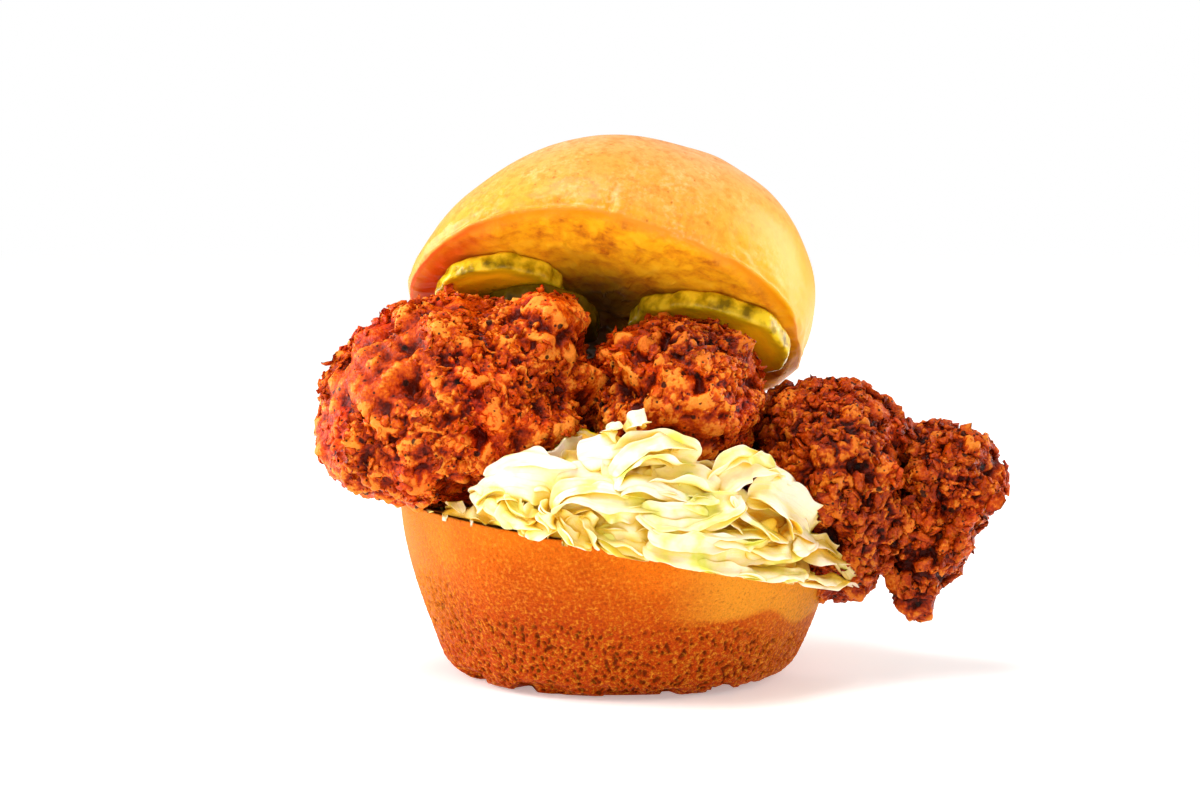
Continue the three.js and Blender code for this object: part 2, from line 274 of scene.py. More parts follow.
# %% [markdown]
# ## The heel of the bun
# The lower half of a burger bun is a tapered cup of bread. Its wall bellies out
# towards the cut, its foot is flat, and the cut is a slanted plane, because the
# bun was cut askew. It could be a lathe turned round its axis, but the slant
# makes the wall taller on one side, so the wall is a grid instead: one parameter
# goes round, the other goes from the middle of the foot, out, up the wall and
# back in across the cut.

# %% Heel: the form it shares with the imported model
HEEL_RADIUS = 52.5
HEEL_WIDEST = 40.0
HEEL_TAPER = 0.0335
HEEL_TAPER_POWER = 1.6
HEEL_WAVES = 0.008, 0.006
FOOT_ROUND = 5.0
FOOT_TUCK = 3.6
FOOT_FLATTENING = 0.12
CUT_HEIGHT = 30.5
CUT_FALL_RIGHT = 0.184
CUT_FALL_BACK = 0.108


def heel_radius(z):
    """The wall's radius: the widest, less a power of the depth below the widest
    ring, less the quarter circle that rounds the foot."""
    below = np.maximum(0, HEEL_WIDEST - z)
    down = np.maximum(0, 1 - z / FOOT_ROUND)
    tuck = FOOT_TUCK * (1 - np.sqrt(1 - down**2))
    return HEEL_RADIUS - HEEL_TAPER * below**HEEL_TAPER_POWER - tuck


def heel_wave(angle, z):
    """How far from round the wall is: an oval foot, a slow wave and a quick one."""
    flattening = FOOT_FLATTENING * np.maximum(0, 1 - z / CUT_HEIGHT)
    oval = 1 - flattening * np.sin(angle) ** 2
    slow, quick = HEEL_WAVES
    return oval + slow * np.sin(3 * angle + 1) + quick * np.sin(5 * angle)


def cut_height(x, y):
    """The slanted plane of the cut."""
    return CUT_HEIGHT - CUT_FALL_RIGHT * x - CUT_FALL_BACK * y


def rim_height(angle, passes=6):
    """Where wall and cut meet: the plane's height at the wall's radius, asked
    again a few times because each depends on the other."""
    z = np.full_like(angle, CUT_HEIGHT)
    for _ in range(passes):
        r = heel_radius(z)
        z = cut_height(r * np.cos(angle), r * np.sin(angle))
    return z


# %% Heel: its grid
def heel_skin(around=800, foot_rows=8, wall_rows=92, cut_rows=20):
    """The heel's grid. A row's `up` goes 0 to 1 up the wall and its `inward` goes
    0 to 1 across the cut, and the radius and height follow from them."""
    angle = full_turn(around)
    out = np.concatenate([np.linspace(0.12, 0.97, foot_rows), np.ones(wall_rows + cut_rows)])
    up = np.concatenate([np.zeros(foot_rows), np.linspace(0, 1, wall_rows), np.ones(cut_rows)])
    inward = np.linspace(0.012, 0.97, cut_rows)
    inward = np.concatenate([np.zeros(foot_rows + wall_rows), inward])[:, None]
    z = rim_height(angle) * up[:, None] ** 1.25
    r = heel_radius(z) * heel_wave(angle, z) * (out[:, None] * (1 - inward))
    grid = polar(r, angle, z)
    on_cut = np.broadcast_to(inward > 0, z.shape)
    grid[..., 2] = np.where(on_cut, cut_height(grid[..., 0], grid[..., 1]), z)
    return grid, np.repeat(up, around), on_cut.ravel()


rim = rim_height(full_turn(360))
print(f"the rim stands {rim.min():.1f} to {rim.max():.1f} mm high")

# %% Heel: the crust and its pores
# Sizes, heights and depths in mm, and where the torn edge of the foot begins, as a
# share of its radius.
BLISTER_SIZE, BLISTER_LEAST, BLISTER_MORE_BELOW = 1.2, 0.12, 0.26
PIT_SIZE, PIT_DEPTH = 1.3, 0.7
NOTCH_DEPTH = 1.8
TEAR_SIZE, TEAR_LIFT, TEAR_INWARD_TO = 5.5, 1.3, 0.86


def foot_tears(p):
    """0 to 1: where the foot's edge stuck to the tin and tore, by a noise that
    hardly changes with height."""
    return ease(soft_noise(p * [1, 1, 0.3], TEAR_SIZE, 27), 0.05, 0.5)


def heel_relief(p, up):
    """How far the crust stands out, in mm: small blisters that crowd towards the
    foot, less upright pits that deepen there. Then the same with a slow swell,
    less torn notches along the foot's edge."""
    low = ease(1 - up + 0.12 * soft_noise(p, 12, 29), 0.1, 0.6)
    blisters = knobs(p + 0.4 * wander(p, 1.6, 30), BLISTER_SIZE, 21)
    blisters = (BLISTER_LEAST + BLISTER_MORE_BELOW * low) * blisters
    nearest = cell_noise(p * [1, 1, 0.6] + 0.6 * wander(p, 2.5, 25), PIT_SIZE, 26)
    pits = -PIT_DEPTH * ease(low, 0.2, 1.0) * ease(0.55 - nearest, 0, 0.35)
    notches = -NOTCH_DEPTH * ease(1 - up, 0.82, 0.97) * foot_tears(p)
    return blisters + pits, blisters + pits + notches + 0.4 * soft_noise(p, 14, 24)


def heel_paleness(p, up):
    """0 to 1: the thin right side of the wall stayed paler above a wavy line. The
    left end is painted lighter, and all of the right end a little, as painted
    light that wraps round the edges of the wall."""
    line = up + 0.1 * soft_noise(p, 11, 34) - 0.0016 * (p[:, 0] - 38)
    right = ease(p[:, 0], 6, 26) * ease(line, 0.66, 0.74) * ease(-p[:, 1], -20, 5)
    left = ease(-p[:, 0], 32, 50) * ease(line, 0.35, 0.7)
    end = ease(p[:, 0], 18, 42)
    return np.maximum(np.maximum(0.8 * right, 0.4 * left), 0.16 * end)


# %% Heel: build it
def build_heel():
    """The wall moves out by its relief and the foot's edge lifts where it tore.
    The rim rolls up, and the cut gets slow waves and the holes of its crumb."""
    grid, up, on_cut = heel_skin()
    flat = grid.reshape(-1, 3)
    wall = ~on_cut & (flat[:, 2] > 0.01)
    outward = unit(flat * [1, 1, 0])
    fine, relief = heel_relief(flat, up)
    flat = flat + outward * (relief * wall)[:, None]
    edge = np.hypot(flat[:, 0], flat[:, 1]) > TEAR_INWARD_TO * heel_radius(0.0)
    flat[:, 2] += TEAR_LIFT * foot_tears(flat) * (1 - ease(flat[:, 2], 0.5, 4)) * edge * ~on_cut
    rolled_rim = 0.9 * ease(soft_noise(flat, 9, 28), -0.2, 0.7) * ease(up, 0.9, 1.0) * wall
    crumb = -0.5 * knobs(flat, 2.2, 31) * (knobs(flat, 5, 32) > 0.45)
    crumb = crumb + 0.4 * soft_noise(flat, 6, 33)
    flat[:, 2] += np.where(on_cut, crumb, rolled_rim)
    points = flat_skin(flat.reshape(grid.shape), [0, 0, 0], [0, 0, cut_height(0, 0)])
    make_piece(
        "heel_bread", points, wrapped_grid(*grid.shape[:2]), "bun_crust", "heel",
        cut=with_ends(on_cut, 0, 1), rise=with_ends(up, 0, 1),
        pale=with_ends(heel_paleness(flat, up)), relief=with_ends(np.where(wall, fine, 0)),
    )


build_heel()

# %% [markdown]
# ## The crown of the bun
# The upper half is a dome with a glossy, egg-washed crust. It was lifted open, so
# it leans back and rolls to one side, and it sags over the filling. The easy way
# is to model it level and then bend and turn the finished points, the same way
# as the slices of pickle that lie under it. So the bend and the turn are one
# function that takes any points.

# %% Crown: from its own level frame to its place
CROWN_RADIUS = 47.9
CROWN_EQUATOR = 5.0
CROWN_RISE = 33.3
CROWN_FULLNESS = 0.76
CROWN_TUCK = 0.05
CROWN_TUCKED_SHARE = 0.16
CROWN_RIM_LIFT = 2.6
CROWN_WAVES = 0.008, 0.006
CROWN_TOP_SHIFT = 5.6
CROWN_SAG_LEFT = 9.0
CROWN_SAG_RIGHT = 1.6
CROWN_CENTRE = np.array([-2.8, 6.0, 85.0])
CROWN_LEAN = math.radians(28)
CROWN_ROLL = math.radians(15)


def crown_turn():
    """The rotation of the crown: back about X by the lean, then about Y by the
    roll, as one 3 by 3 matrix."""
    c, s = math.cos(CROWN_ROLL), math.sin(CROWN_ROLL)
    about_y = np.array([[c, 0, s], [0, 1, 0], [-s, 0, c]])
    return about_y @ about_x(-CROWN_LEAN)


def crown_sag(x):
    """How far the crown's face hangs at a distance x from its middle: the square
    of that distance, with more on the left."""
    return np.where(x < 0, CROWN_SAG_LEFT, CROWN_SAG_RIGHT) * (x / CROWN_RADIUS) ** 2


def place_on_crown(p):
    """Sag, shift of the top, rotation and move, for points (n, 3) in mm."""
    lift = np.maximum(0, (p[:, 2] - CROWN_EQUATOR) / CROWN_RISE)
    bent = raised(p, -crown_sag(p[:, 0]))
    bent[:, 0] += CROWN_TOP_SHIFT * lift
    return bent @ crown_turn().T + CROWN_CENTRE


def level_with_crown(p):
    """The way back, for points near the crown's face: the height is measured
    from the sagging face itself."""
    q = (p - CROWN_CENTRE) @ crown_turn()
    return raised(q, crown_sag(q[:, 0]))


def from_crown_level(q):
    """Undoes level_with_crown."""
    return raised(q, -crown_sag(q[:, 0])) @ crown_turn().T + CROWN_CENTRE


# %% Crown: dome, rolled rim and toasted cut
def dome_profile(share):
    """Radius and height of the dome from the rim (0) to the top (1): a short
    tucked wall, then a bow whose radius is the cosine to a power."""
    tucked = CROWN_TUCKED_SHARE
    down = 1 - np.minimum(share, tucked) / tucked
    bow = np.maximum(0, share - tucked) / (1 - tucked) * np.pi / 2
    radius = CROWN_RADIUS * (1 - CROWN_TUCK * down**2) * np.cos(bow) ** CROWN_FULLNESS
    return radius, CROWN_EQUATOR * (1 - down) + CROWN_RISE * np.sin(bow)


def crown_rows(face_rows=46, dome_rows=94):
    """Radius, height and dome share of each row: out across the cut face, up
    round the rolled rim, and on over the dome."""
    out = np.linspace(0.03, 1, face_rows)
    rolled = CROWN_RIM_LIFT * ease(out, 0.9, 1.06) ** 1.5
    share = np.linspace(rolled[-1] / CROWN_EQUATOR * CROWN_TUCKED_SHARE, 0.985, dome_rows)
    radius, height = dome_profile(share)
    return (
        np.concatenate([out[:-1] * radius[0], radius]),
        np.concatenate([rolled[:-1], height]),
        np.concatenate([np.zeros(face_rows - 1), share]),
    )


# %% Crown: the crust and its marks
# The lip, where the shine of the egg begins, is placed by its share of the way up
# the dome. The pinch is placed in mm across.
LIP_AT, LIP_WIDTH, LIP_HEIGHT = 0.055, 0.016, 0.9
PINCH_AT = -6.5
PINCH_WIDTH, PINCH_DEPTH = 0.8, 0.6
PINCH_FOLD_WIDTH, PINCH_FOLD_HEIGHT = 1.6, 0.35
# Width in mm and strength of the painted shade deep in the middle of the cut.
SOAKED_WIDTH, SOAKED_STRENGTH = 14, 0.86


def crown_relief(p, rise):
    """The crust rolls softly, wrinkles where it was pressed at the rim, has a
    lip along it, and one pinch running up from it in front."""
    rolls = 0.35 * soft_noise(p, 9, 42) * ease(rise, 0.02, 0.2) + 0.5 * soft_noise(p, 20, 41)
    wrinkles = 0.3 * soft_noise(p * [1, 1, 2.2], 3.2, 43) * (1 - ease(rise, 0.08, 0.35))
    across = p[:, 0] - PINCH_AT - 2.2 * soft_noise(p, 4, 48)
    front = (p[:, 1] < 0) * (1 - ease(rise, 0.1, 0.27)) * ease(rise, 0.02, 0.08)
    pinch = -PINCH_DEPTH * bell(across, PINCH_WIDTH)
    pinch = pinch + PINCH_FOLD_HEIGHT * bell(across - 2, PINCH_FOLD_WIDTH)
    lip = LIP_HEIGHT * bell(rise - LIP_AT - 0.012, LIP_WIDTH)
    lip = lip * ease(soft_noise(p, 14, 40), -0.6, 0.3)
    return rolls + wrinkles + pinch * front + lip


def crown_marks(p, rise, cut):
    """Where the finish changes, each 0 to 1: golden low on the right, partly
    painted light, painted shade deep in the middle of the cut, the bare band
    under the lip, and a red left end of both."""
    # Painted light as well as golden crust: the rim low on the right lies in shade.
    gold = ease(p[:, 0], 8, 44) * ease(-p[:, 1], -30, 10)
    gold = gold * (1 - ease(rise, 0.25, 0.7)) * (1 - cut)
    # Painted shade deep in the middle of the crown's cut, over the dark gap.
    soaked = SOAKED_STRENGTH * cut * ease(p[:, 1], -32, -6) * bell(p[:, 0] + 1, SOAKED_WIDTH)
    edge = LIP_AT + 0.012 * soft_noise(p, 5, 39)
    under = (1 - ease(rise, edge - 0.006, edge + 0.006)) * (1 - cut)
    red = ease(-p[:, 0], 24, 42) * np.maximum(cut, under)
    return {
        "cut": with_ends(cut, 1, 0), "rise": with_ends(rise, 0, 1), "gold": with_ends(gold),
        "soaked": with_ends(soaked, 1, 0), "under": with_ends(under), "red": with_ends(red),
    }


# %% Crown: build it
def build_crown(around=680):
    """The rows turned round the axis, a little oval. The crust moves out by its
    relief and the cut is torn up and down, then all of it goes to its place."""
    angle = full_turn(around)
    radius, height, share = crown_rows()
    slow, quick = CROWN_WAVES
    wave = 1 + slow * np.sin(2 * angle + 0.6) + quick * np.sin(5 * angle)
    grid = polar(radius[:, None] * wave, angle, height[:, None])
    flat = grid.reshape(-1, 3)
    rise, level = np.repeat(share, around), np.repeat(height, around)
    cut = 1 - ease(level, 0.0, CROWN_RIM_LIFT * 0.6)
    flat = flat + unit(flat) * (crown_relief(flat, rise) * (1 - cut))[:, None]
    torn = 0.35 * soft_noise(flat, 3.5, 44) + 0.6 * soft_noise(flat, 11, 45)
    holes = 0.5 * knobs(flat, 2.6, 46) * (knobs(flat, 6, 47) > 0.55)
    flat[:, 2] += (torn + holes) * cut
    top = [0, 0, CROWN_EQUATOR + CROWN_RISE]
    points = place_on_crown(flat_skin(flat.reshape(grid.shape), [0, 0, 0], top))
    faces = wrapped_grid(*grid.shape[:2])
    marks = crown_marks(flat, rise, cut)
    make_piece("crown_bread", points, faces, "bun_crust", "crown", **marks)


build_crown()

# %% [markdown]
# ## The fried fillet
# Fried chicken is meat in a thick flour crust. Its large form is a few swollen
# lumps grown into each other, and the crust on them is crags, crevices and loose
# crumbs. Sculpting is one way, but a rule is quicker and can be changed: each
# lump is a ball of directions, and along each direction its skin is found by
# halving the distance. Then knobs of falling size are piled on the skin.

# %% Fillet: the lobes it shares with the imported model
LOBE_BLEND = 2.5
CRAG_SIZE = 11.0
FINE_CRAG_SIZE = 6.3
CRAG_DEPTH = 1.4
# Each mass: the middle it is seen from, how fine its grid is, and its lobes as
# (centre, half sizes).
FILLET = {
    "left": ([-37, -12, 66], 118, [
        ([-36.5, -13, 66], [30.5, 31, 23.5]),
        ([-53, -18, 57], [15.5, 16, 13]),
        ([-16.5, -23, 83], [8, 12, 8]),
        ([-37, -20, 54], [23, 22, 9]),
        ([-17.5, -30, 57], [7, 11, 7.5]),
    ]),
    "centre": ([13, -12, 64], 104, [
        ([12.5, -13, 65], [20, 29, 16.5]),
        ([11.5, -23, 78], [13.5, 13, 6]),
    ]),
    "right": ([49, -10, 50], 100, [
        ([47.5, -9, 51], [17.5, 25, 17.5]),
        ([54, -16, 38], [12.5, 13, 12.5]),
    ]),
    "tail": ([74, -11, 40], 84, [
        ([76, -12, 47], [12, 14, 11.5]),
        ([71, -9, 33], [9.5, 12, 10.5]),
        ([64, -7, 50], [6.5, 10, 8]),
    ]),
    "tip": ([69.5, -10, 24], 40, [
        ([69.5, -10, 20.5], [5, 6, 7.5]),
        ([70.5, -9, 31], [7.5, 8, 7]),
    ]),
    "flap": ([48.5, -10, 24], 36, [([48.5, -10, 24], [12, 7, 5.5])]),
    "back": ([-4, 18, 54], 88, [
        ([-22, 18, 57], [30, 24, 17]),
        ([18, 15, 51], [27, 25, 15]),
    ]),
}


def lobes_but(left_out=None):
    """The lobes of all masses but one."""
    return [lobe for name, mass in FILLET.items() if name != left_out for lobe in mass[2]]


def lobe_field(p, lobes):
    """About how far a point is outside a group of ellipsoids, below zero inside:
    the soft least of their own depths, so that neighbours run together."""
    total = np.full(len(p), 1e-30)
    for at, half in lobes:
        reach = np.linalg.norm((p - at) / half, axis=1)
        total += np.exp(-(reach - 1) * min(half) / LOBE_BLEND)
    return -LOBE_BLEND * np.log(total)


def slope(p, lobes, step=0.05):
    """Unit vectors along which the lobes' field grows fastest, by central
    differences."""
    ahead = [lobe_field(p + step * axis, lobes) for axis in np.eye(3)]
    behind = [lobe_field(p - step * axis, lobes) for axis in np.eye(3)]
    return unit(np.stack(ahead, axis=-1) - np.stack(behind, axis=-1), 1e-12)


def lumps(p, size, seed):
    """Three crossed sine waves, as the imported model's crags are made of."""
    k = 2 * np.pi / size
    x, y, z = p[:, 0], p[:, 1], p[:, 2]
    a = np.sin(k * (0.8 * x + 0.36 * y + 0.48 * z) + seed)
    b = np.sin(k * (-0.48 * x + 0.8 * y + 0.36 * z) + 2.1 * seed)
    c = np.sin(k * (0.36 * x - 0.48 * y + 0.8 * z) + 3.7 * seed)
    return (a + b + c) / 3


print("lobes in the fillet:", len(lobes_but()))

# %% Fillet: a ball of directions and the skin along them
def ball_of_directions(steps):
    """A cube's six faces, each a grid of steps by steps, with all points pushed
    out to length one. The tangent keeps the squares alike, and points that lie
    on the cube's edges are shared by the faces that meet there."""
    t = np.tan(np.linspace(-1, 1, steps + 1) * np.pi / 4)
    u, v = np.meshgrid(t, t, indexing="ij")
    one = np.ones_like(u)
    faces = [(one, u, v), (v, one, u), (u, v, one), (-one, v, u), (u, -one, v), (v, u, -one)]
    points = unit(np.stack([np.stack(face, axis=-1) for face in faces]).reshape(-1, 3))
    index = np.arange(len(points)).reshape(6, steps + 1, steps + 1)
    corners = [index[:, :-1, :-1], index[:, 1:, :-1], index[:, 1:, 1:], index[:, :-1, 1:]]
    quads = np.stack(corners, axis=-1).reshape(-1, 4)
    rounded = np.round(points, 5)
    _, first, shared = np.unique(rounded, axis=0, return_index=True, return_inverse=True)
    return points[first], shared.ravel()[quads]


def find_skin(directions, middle, lobes, furthest=90.0, halvings=26):
    """Points where the field is zero along each direction. The middle of the span
    that holds it becomes the near end if it is inside, else the far end."""
    near = np.zeros(len(directions))
    far = np.full(len(directions), furthest)
    for _ in range(halvings):
        reach = (near + far) / 2
        inside = lobe_field(middle + directions * reach[:, None], lobes) < 0
        near = np.where(inside, reach, near)
        far = np.where(inside, far, reach)
    return middle + directions * near[:, None]


# %% Fillet: clumps and hollows that an eye follows
# Each is (across, height, radius, how far it stands out), on the front of a mass.
CLUMPS = {
    "left": [
        (-16.5, 89.5, 3.5, 2.2), (-10, 85, 2.5, 1.8), (-41.5, 82.5, 4, 2), (-53.5, 75, 2.5, 1.5),
        (-59.5, 77.5, 2.5, 1), (-27, 81, 2.5, 1.6), (-18.5, 80, 2.5, 1.6), (-12.5, 77.5, 2, 1.4),
        (-32, 73.5, 2.5, 1.4), (-25, 70, 3.5, 1.8), (-31, 66, 2.5, 1.5), (-57, 69, 5, 1.2),
        (-64, 64, 4.5, 0.6), (-45, 62.5, 3, 1.6), (-38.5, 61, 3, 1.2), (-27, 59, 3.5, 1.4),
        (-14.5, 62.5, 2, 1.4), (-46, 48, 3, 1.8), (-60.5, 55.5, 5, 0.8), (-9.5, 72, 3.5, 3.2),
        (-49, 89, 3.5, 1), (-36.5, 52.5, 3, 0.8), (-47.5, 71, 3.5, -3.2), (-48.5, 78.5, 2, -2.2),
        (-32.5, 85.5, 1.5, -1.6), (-20.5, 85, 2, -2.4), (-13, 81.5, 2, -2.6),
        (-37.5, 76.5, 2, -1.6), (-49, 61.5, 2, -2.2), (-55.5, 55.5, 2.5, -1.6),
        (-31.5, 60, 2, -1.8), (-14.5, 70, 2, -2.4), (-19, 67, 1.5, -1.8),
        (-33.5, 46.5, 3.5, -2.6), (-42.5, 72.5, 1.5, -1.2), (-22.5, 74, 1.5, -1), (-7, 79, 3, -3),
    ],
    "centre": [
        (-0.5, 82.5, 2, 2), (5, 84.5, 2.5, 2.4), (10.5, 85.5, 2.5, 2.2), (17.5, 86, 2.5, 2.6),
        (23, 84.5, 2.5, 2.4), (27, 81, 2, 2.4), (28.5, 77.5, 2, 2), (2.5, 76, 2.5, 1.8),
        (9, 75, 2, 1.6), (15.5, 75.5, 2, 1.4), (10, 69, 4, 1.8), (19, 68.5, 4, 1.6),
        (22.5, 62, 3, 1.2), (30, 74.5, 2, 2), (23, 73, 2, 1.4), (5, 65, 2, 1),
        (10, 80.5, 2, -3.4), (4, 79, 2, -2.8), (21, 81.5, 2.5, -3.6), (26.5, 74.5, 1.5, -2.6),
        (16, 80, 1.5, -2.2), (0, 69, 3, -2.6), (-5, 63, 2.5, -1.8), (4, 66.5, 2, -1.6),
        (28.5, 70, 2, -2.2),
    ],
    "right": [
        (31, 65.5, 2, 1.6), (37, 64, 2, 2), (40.5, 66, 2, 1.6), (44, 64.5, 2, 1.4),
        (40, 72, 2.5, 1.4), (47, 69.5, 3, 1.2), (50, 61, 2, 1.6), (55, 64.5, 2.5, 1.4),
        (61, 58.5, 2.5, 2.4), (53.5, 56.5, 2, 1.8), (47, 47.5, 3, 2.4), (48, 43.5, 2.5, 1.8),
        (57.5, 50, 2.5, 2), (57, 45, 2.5, 1.4), (62, 51.5, 2, 1.2), (52, 39.5, 3, 1.2),
        (55.5, 33, 3, 2), (60.5, 40.5, 2.5, 1.2), (30, 69, 2, -3.2), (38, 68, 1.5, -2),
        (35, 57.5, 3, -2.2), (40, 58.5, 2, -1.6), (52, 51.5, 2, -2.8), (44, 50, 2, -2.2),
        (43, 43.5, 2, -2), (47.5, 37, 2.5, -1.8), (59, 65.5, 1.5, -1.4), (55.5, 58.5, 1, -1.6),
        (50.5, 42, 1.5, -1.2),
    ],
    "tail": [
        (71, 57, 2.5, 2), (76.5, 51, 3, 1.8), (68, 58.5, 2, 1.2), (74, 60, 2, 1.2),
        (82, 57.5, 2.5, 1.6), (86.5, 48, 2.5, 1.6), (70.5, 39, 4, 1.8), (77, 32, 2.5, 1.8),
        (66, 32.5, 2.5, 1.2), (67, 49, 2, 1), (82, 43.5, 2.5, 1), (70, 23.5, 3, 1.2),
        (69.5, 16.5, 2, 0.8), (74, 44.5, 2.5, -3.6), (78, 44.5, 2, -2.6), (81, 52, 2, -2.4),
        (69.5, 42, 1.5, -1.6), (72.5, 40.5, 1, -1.6), (69.5, 31, 2.5, -2.6), (64, 44.5, 2, -2.4),
        (65, 24, 2, -2), (74, 35.5, 1.5, -1.2), (77.5, 55, 1.5, -1.6), (65, 53.5, 2, -1.4),
    ],
}

CLUMP_SPREAD = 1.35  # how much wider than its radius a clump's bell is


def clump_relief(name, p, outward):
    """Sum of bells, out times e^-(d/r)², over the front of a mass, where d is the
    distance seen from the front and is bent by noise."""
    bent = p + 2.2 * wander(p, 5.0, 50) + 0.9 * wander(p, 2.0, 49)
    total = np.zeros(len(p))
    for x, z, radius, out in CLUMPS.get(name, []):
        away = ((bent[:, 0] - x) ** 2 + (bent[:, 2] - z) ** 2) / (CLUMP_SPREAD * radius) ** 2
        total += out * np.exp(-away)
    return total * ease(-outward[:, 1], -0.1, 0.45)


# %% Fillet: the crust's relief
# Widths of the crust's knobs and heights of its forms, in mm.
LARGE, MEDIUM, SMALL, FINE = 5.6, 2.9, 1.5, 0.85
SWELL_HIGH, LARGE_HIGH, MEDIUM_HIGH, SMALL_HIGH, FINE_HIGH = 2.7, 1.0, 1.5, 1.0, 0.55
CRUST_SUNK = 3.1  # brings the crust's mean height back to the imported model's skin


def crust_relief(p, rough):
    """Height of the crust in mm: a soft swell, knobs of two sizes heaped on it in
    patches, and smaller ones all over. Where the batter ran smooth, `rough` is
    small and little more than the swell is left."""
    warped = p + 2.2 * wander(p, 5.0, 51) + 0.8 * wander(p, 2.0, 52)
    swell = 0.5 + 0.35 * soft_noise(warped, 9, 67) + 0.3 * soft_noise(warped, 4.5, 68)
    large = knobs(warped, LARGE, 54)
    medium = knobs(warped + 0.9 * wander(p, 2.4, 55), MEDIUM, 58)
    small = knobs(p + 0.6 * wander(p, 1.3, 59), SMALL, 62)
    fine = knobs(p + 0.3 * wander(p, 0.9, 60), FINE, 63)
    heaped = ease(soft_noise(warped, 8, 65), -0.45, 0.35)
    crumbly = ease(soft_noise(warped, 4, 66), -0.4, 0.3)
    height = LARGE_HIGH * large * heaped + MEDIUM_HIGH * medium * crumbly
    height = SWELL_HIGH * swell + height * (0.2 + 0.8 * rough)
    height += (SMALL_HIGH * small + FINE_HIGH * fine) * (0.4 + 0.6 * rough)
    return height - CRUST_SUNK


# %% Fillet: how proud each point stands
# Rounds of averaging, and the share of each in the result.
CREST_ROUNDS = ((3, 0.08), (14, 0.1), (80, 0.2))


def neighbour_pairs(quads, count):
    """Each edge of a quad mesh once, as two arrays of point numbers."""
    ends = np.stack([quads, np.roll(quads, -1, axis=1)], axis=-1).reshape(-1, 2)
    codes = np.unique(ends.min(axis=1).astype(np.int64) * count + ends.max(axis=1))
    return codes // count, codes % count


def crest(points, quads, outward):
    """How proud each point stands of its surroundings, near 0.5 on average: its
    height over the mean of its neighbours after 3, 14 and 80 rounds of averaging,
    each divided by its own spread, and added."""
    a, b = neighbour_pairs(quads, len(points))
    weight = 1.0 / np.bincount(np.concatenate([a, b]), minlength=len(points))
    mean, total, rounds = points.copy(), np.full(len(points), 0.5), 0
    for until, share in CREST_ROUNDS:
        while rounds < until:
            sums = [
                np.bincount(a, mean[b, k], len(points)) + np.bincount(b, mean[a, k], len(points))
                for k in range(3)
            ]
            mean = 0.3 * mean + 0.7 * np.stack(sums, axis=-1) * weight[:, None]
            rounds += 1
        above = np.einsum("ij,ij->i", points - mean, outward)
        total += share * np.clip((above - np.median(above)) / above.std(), -2.0, 2.2)
    return total


# %% Fillet: rough places and brown places
def roughness_of_crust(p):
    """1 where the crust is all crags, as on the right and the back, and less where
    the batter lies smooth: by a soft noise, and on a patch in front."""
    patch = np.linalg.norm((p - [15, -42, 61]) / [10, 12, 8], axis=1)
    rough = ease(soft_noise(p + 2 * wander(p, 4, 72), 12, 71), -0.5, 0.1) * ease(patch, 0.4, 1.2)
    return np.maximum(rough, np.maximum(ease(p[:, 0], 26, 36), 0.8 * ease(p[:, 1], 2, 16)))


def browning_of_crust(p):
    """How dark the crust is: the thin right end most, where it fried darker and is
    painted darker as shade on the side away from the lamps, then the top of the
    middle mass, with soft patches."""
    top = np.linalg.norm((p - [18, -34, 84]) / [16, 20, 8], axis=1)
    patches = 0.4 * soft_noise(p + 2 * wander(p, 5, 74), 10, 73)
    brown = 0.14 + 0.58 * ease(p[:, 0], 24, 44) + 1.0 * (1 - ease(top, 0.6, 1.3)) + patches
    return np.clip(brown, 0, 1)


# %% Fillet: room for what touches it
GAP = 0.35
PICKLE_THICKNESS = 4.6
# Slices under the crown: across, towards the back, layer below the face, radius,
# and how oval they are, longest towards the front right.
PICKLE_LONG_WAY = math.radians(-45)
PICKLES = {
    "pickle_left": (-26, -10, 0, 14.2, 0.02),
    "pickle_middle": (-15.5, -6, 1, 14, 0.02),
    "pickle_right": (24, -9, 0, 18.7, 0.08),
}
FAR = 99.0  # mm, so far that it sets no limit


def ceiling_over(q, rim_margin, bread_gap, slice_margin, slice_gap):
    """Height of the crown's cut face, less a gap, or of the underside of a slice of
    pickle, less its gap, over points in the crown's level frame. Both reach out
    past their edges by a margin."""
    from_axis = np.hypot(q[:, 0], q[:, 1])
    ceiling = np.where(from_axis < CROWN_RADIUS + rim_margin, -bread_gap, FAR)
    for across, back, layer, radius, oval in PICKLES.values():
        under = GAP + (layer + 1) * (PICKLE_THICKNESS + GAP) + slice_gap
        from_middle = np.hypot(q[:, 0] - across, q[:, 1] - back)
        near = from_middle < radius * (1 + oval) + slice_margin
        ceiling = np.where(near, np.minimum(ceiling, -under), ceiling)
    return ceiling


def keep_below_crown(p):
    """Points above the crown's cut face, or above the underside of a slice of
    pickle, come down to it. Outside its rim nothing is moved."""
    q = level_with_crown(p)
    ceiling = ceiling_over(q, rim_margin=0.5, bread_gap=0.2, slice_margin=0.8, slice_gap=0.0)
    q[:, 2] = np.minimum(q[:, 2], ceiling)
    return from_crown_level(q)


def keep_off_heel(p, clearance=0.3, overhang=FAR):
    """Points inside the heel are lifted to its cut. Those outside it hang no
    further below its rim than the overhang."""
    angle = np.arctan2(p[:, 1], p[:, 0])
    wall = heel_radius(p[:, 2]) * heel_wave(angle, p[:, 2])
    top = cut_height(p[:, 0], p[:, 1]) + clearance
    inside = (np.hypot(p[:, 0], p[:, 1]) < wall + clearance) & (p[:, 2] < top)
    p = p.copy()
    p[:, 2] = np.where(inside, top, np.maximum(p[:, 2], top - overhang))
    return p


# %% Fillet: build its masses
# Masses painted darker on the side that faces the others, as shade where they
# lie under and behind the rest, and how much.
FRIED_DARKER = {"back": 1.0, "tip": 0.25}
FINE_CRAG_SHARE = 0.7


def crust_piece(name, points, faces, peak):
    """A piece of fried crust, with how proud each point is, lowered by painted shade,
    and how dark its crust is.
    """
    brown = browning_of_crust(points)
    make_piece(name, points, [faces], "fried_crust", "chicken", peak=peak, brown=brown)


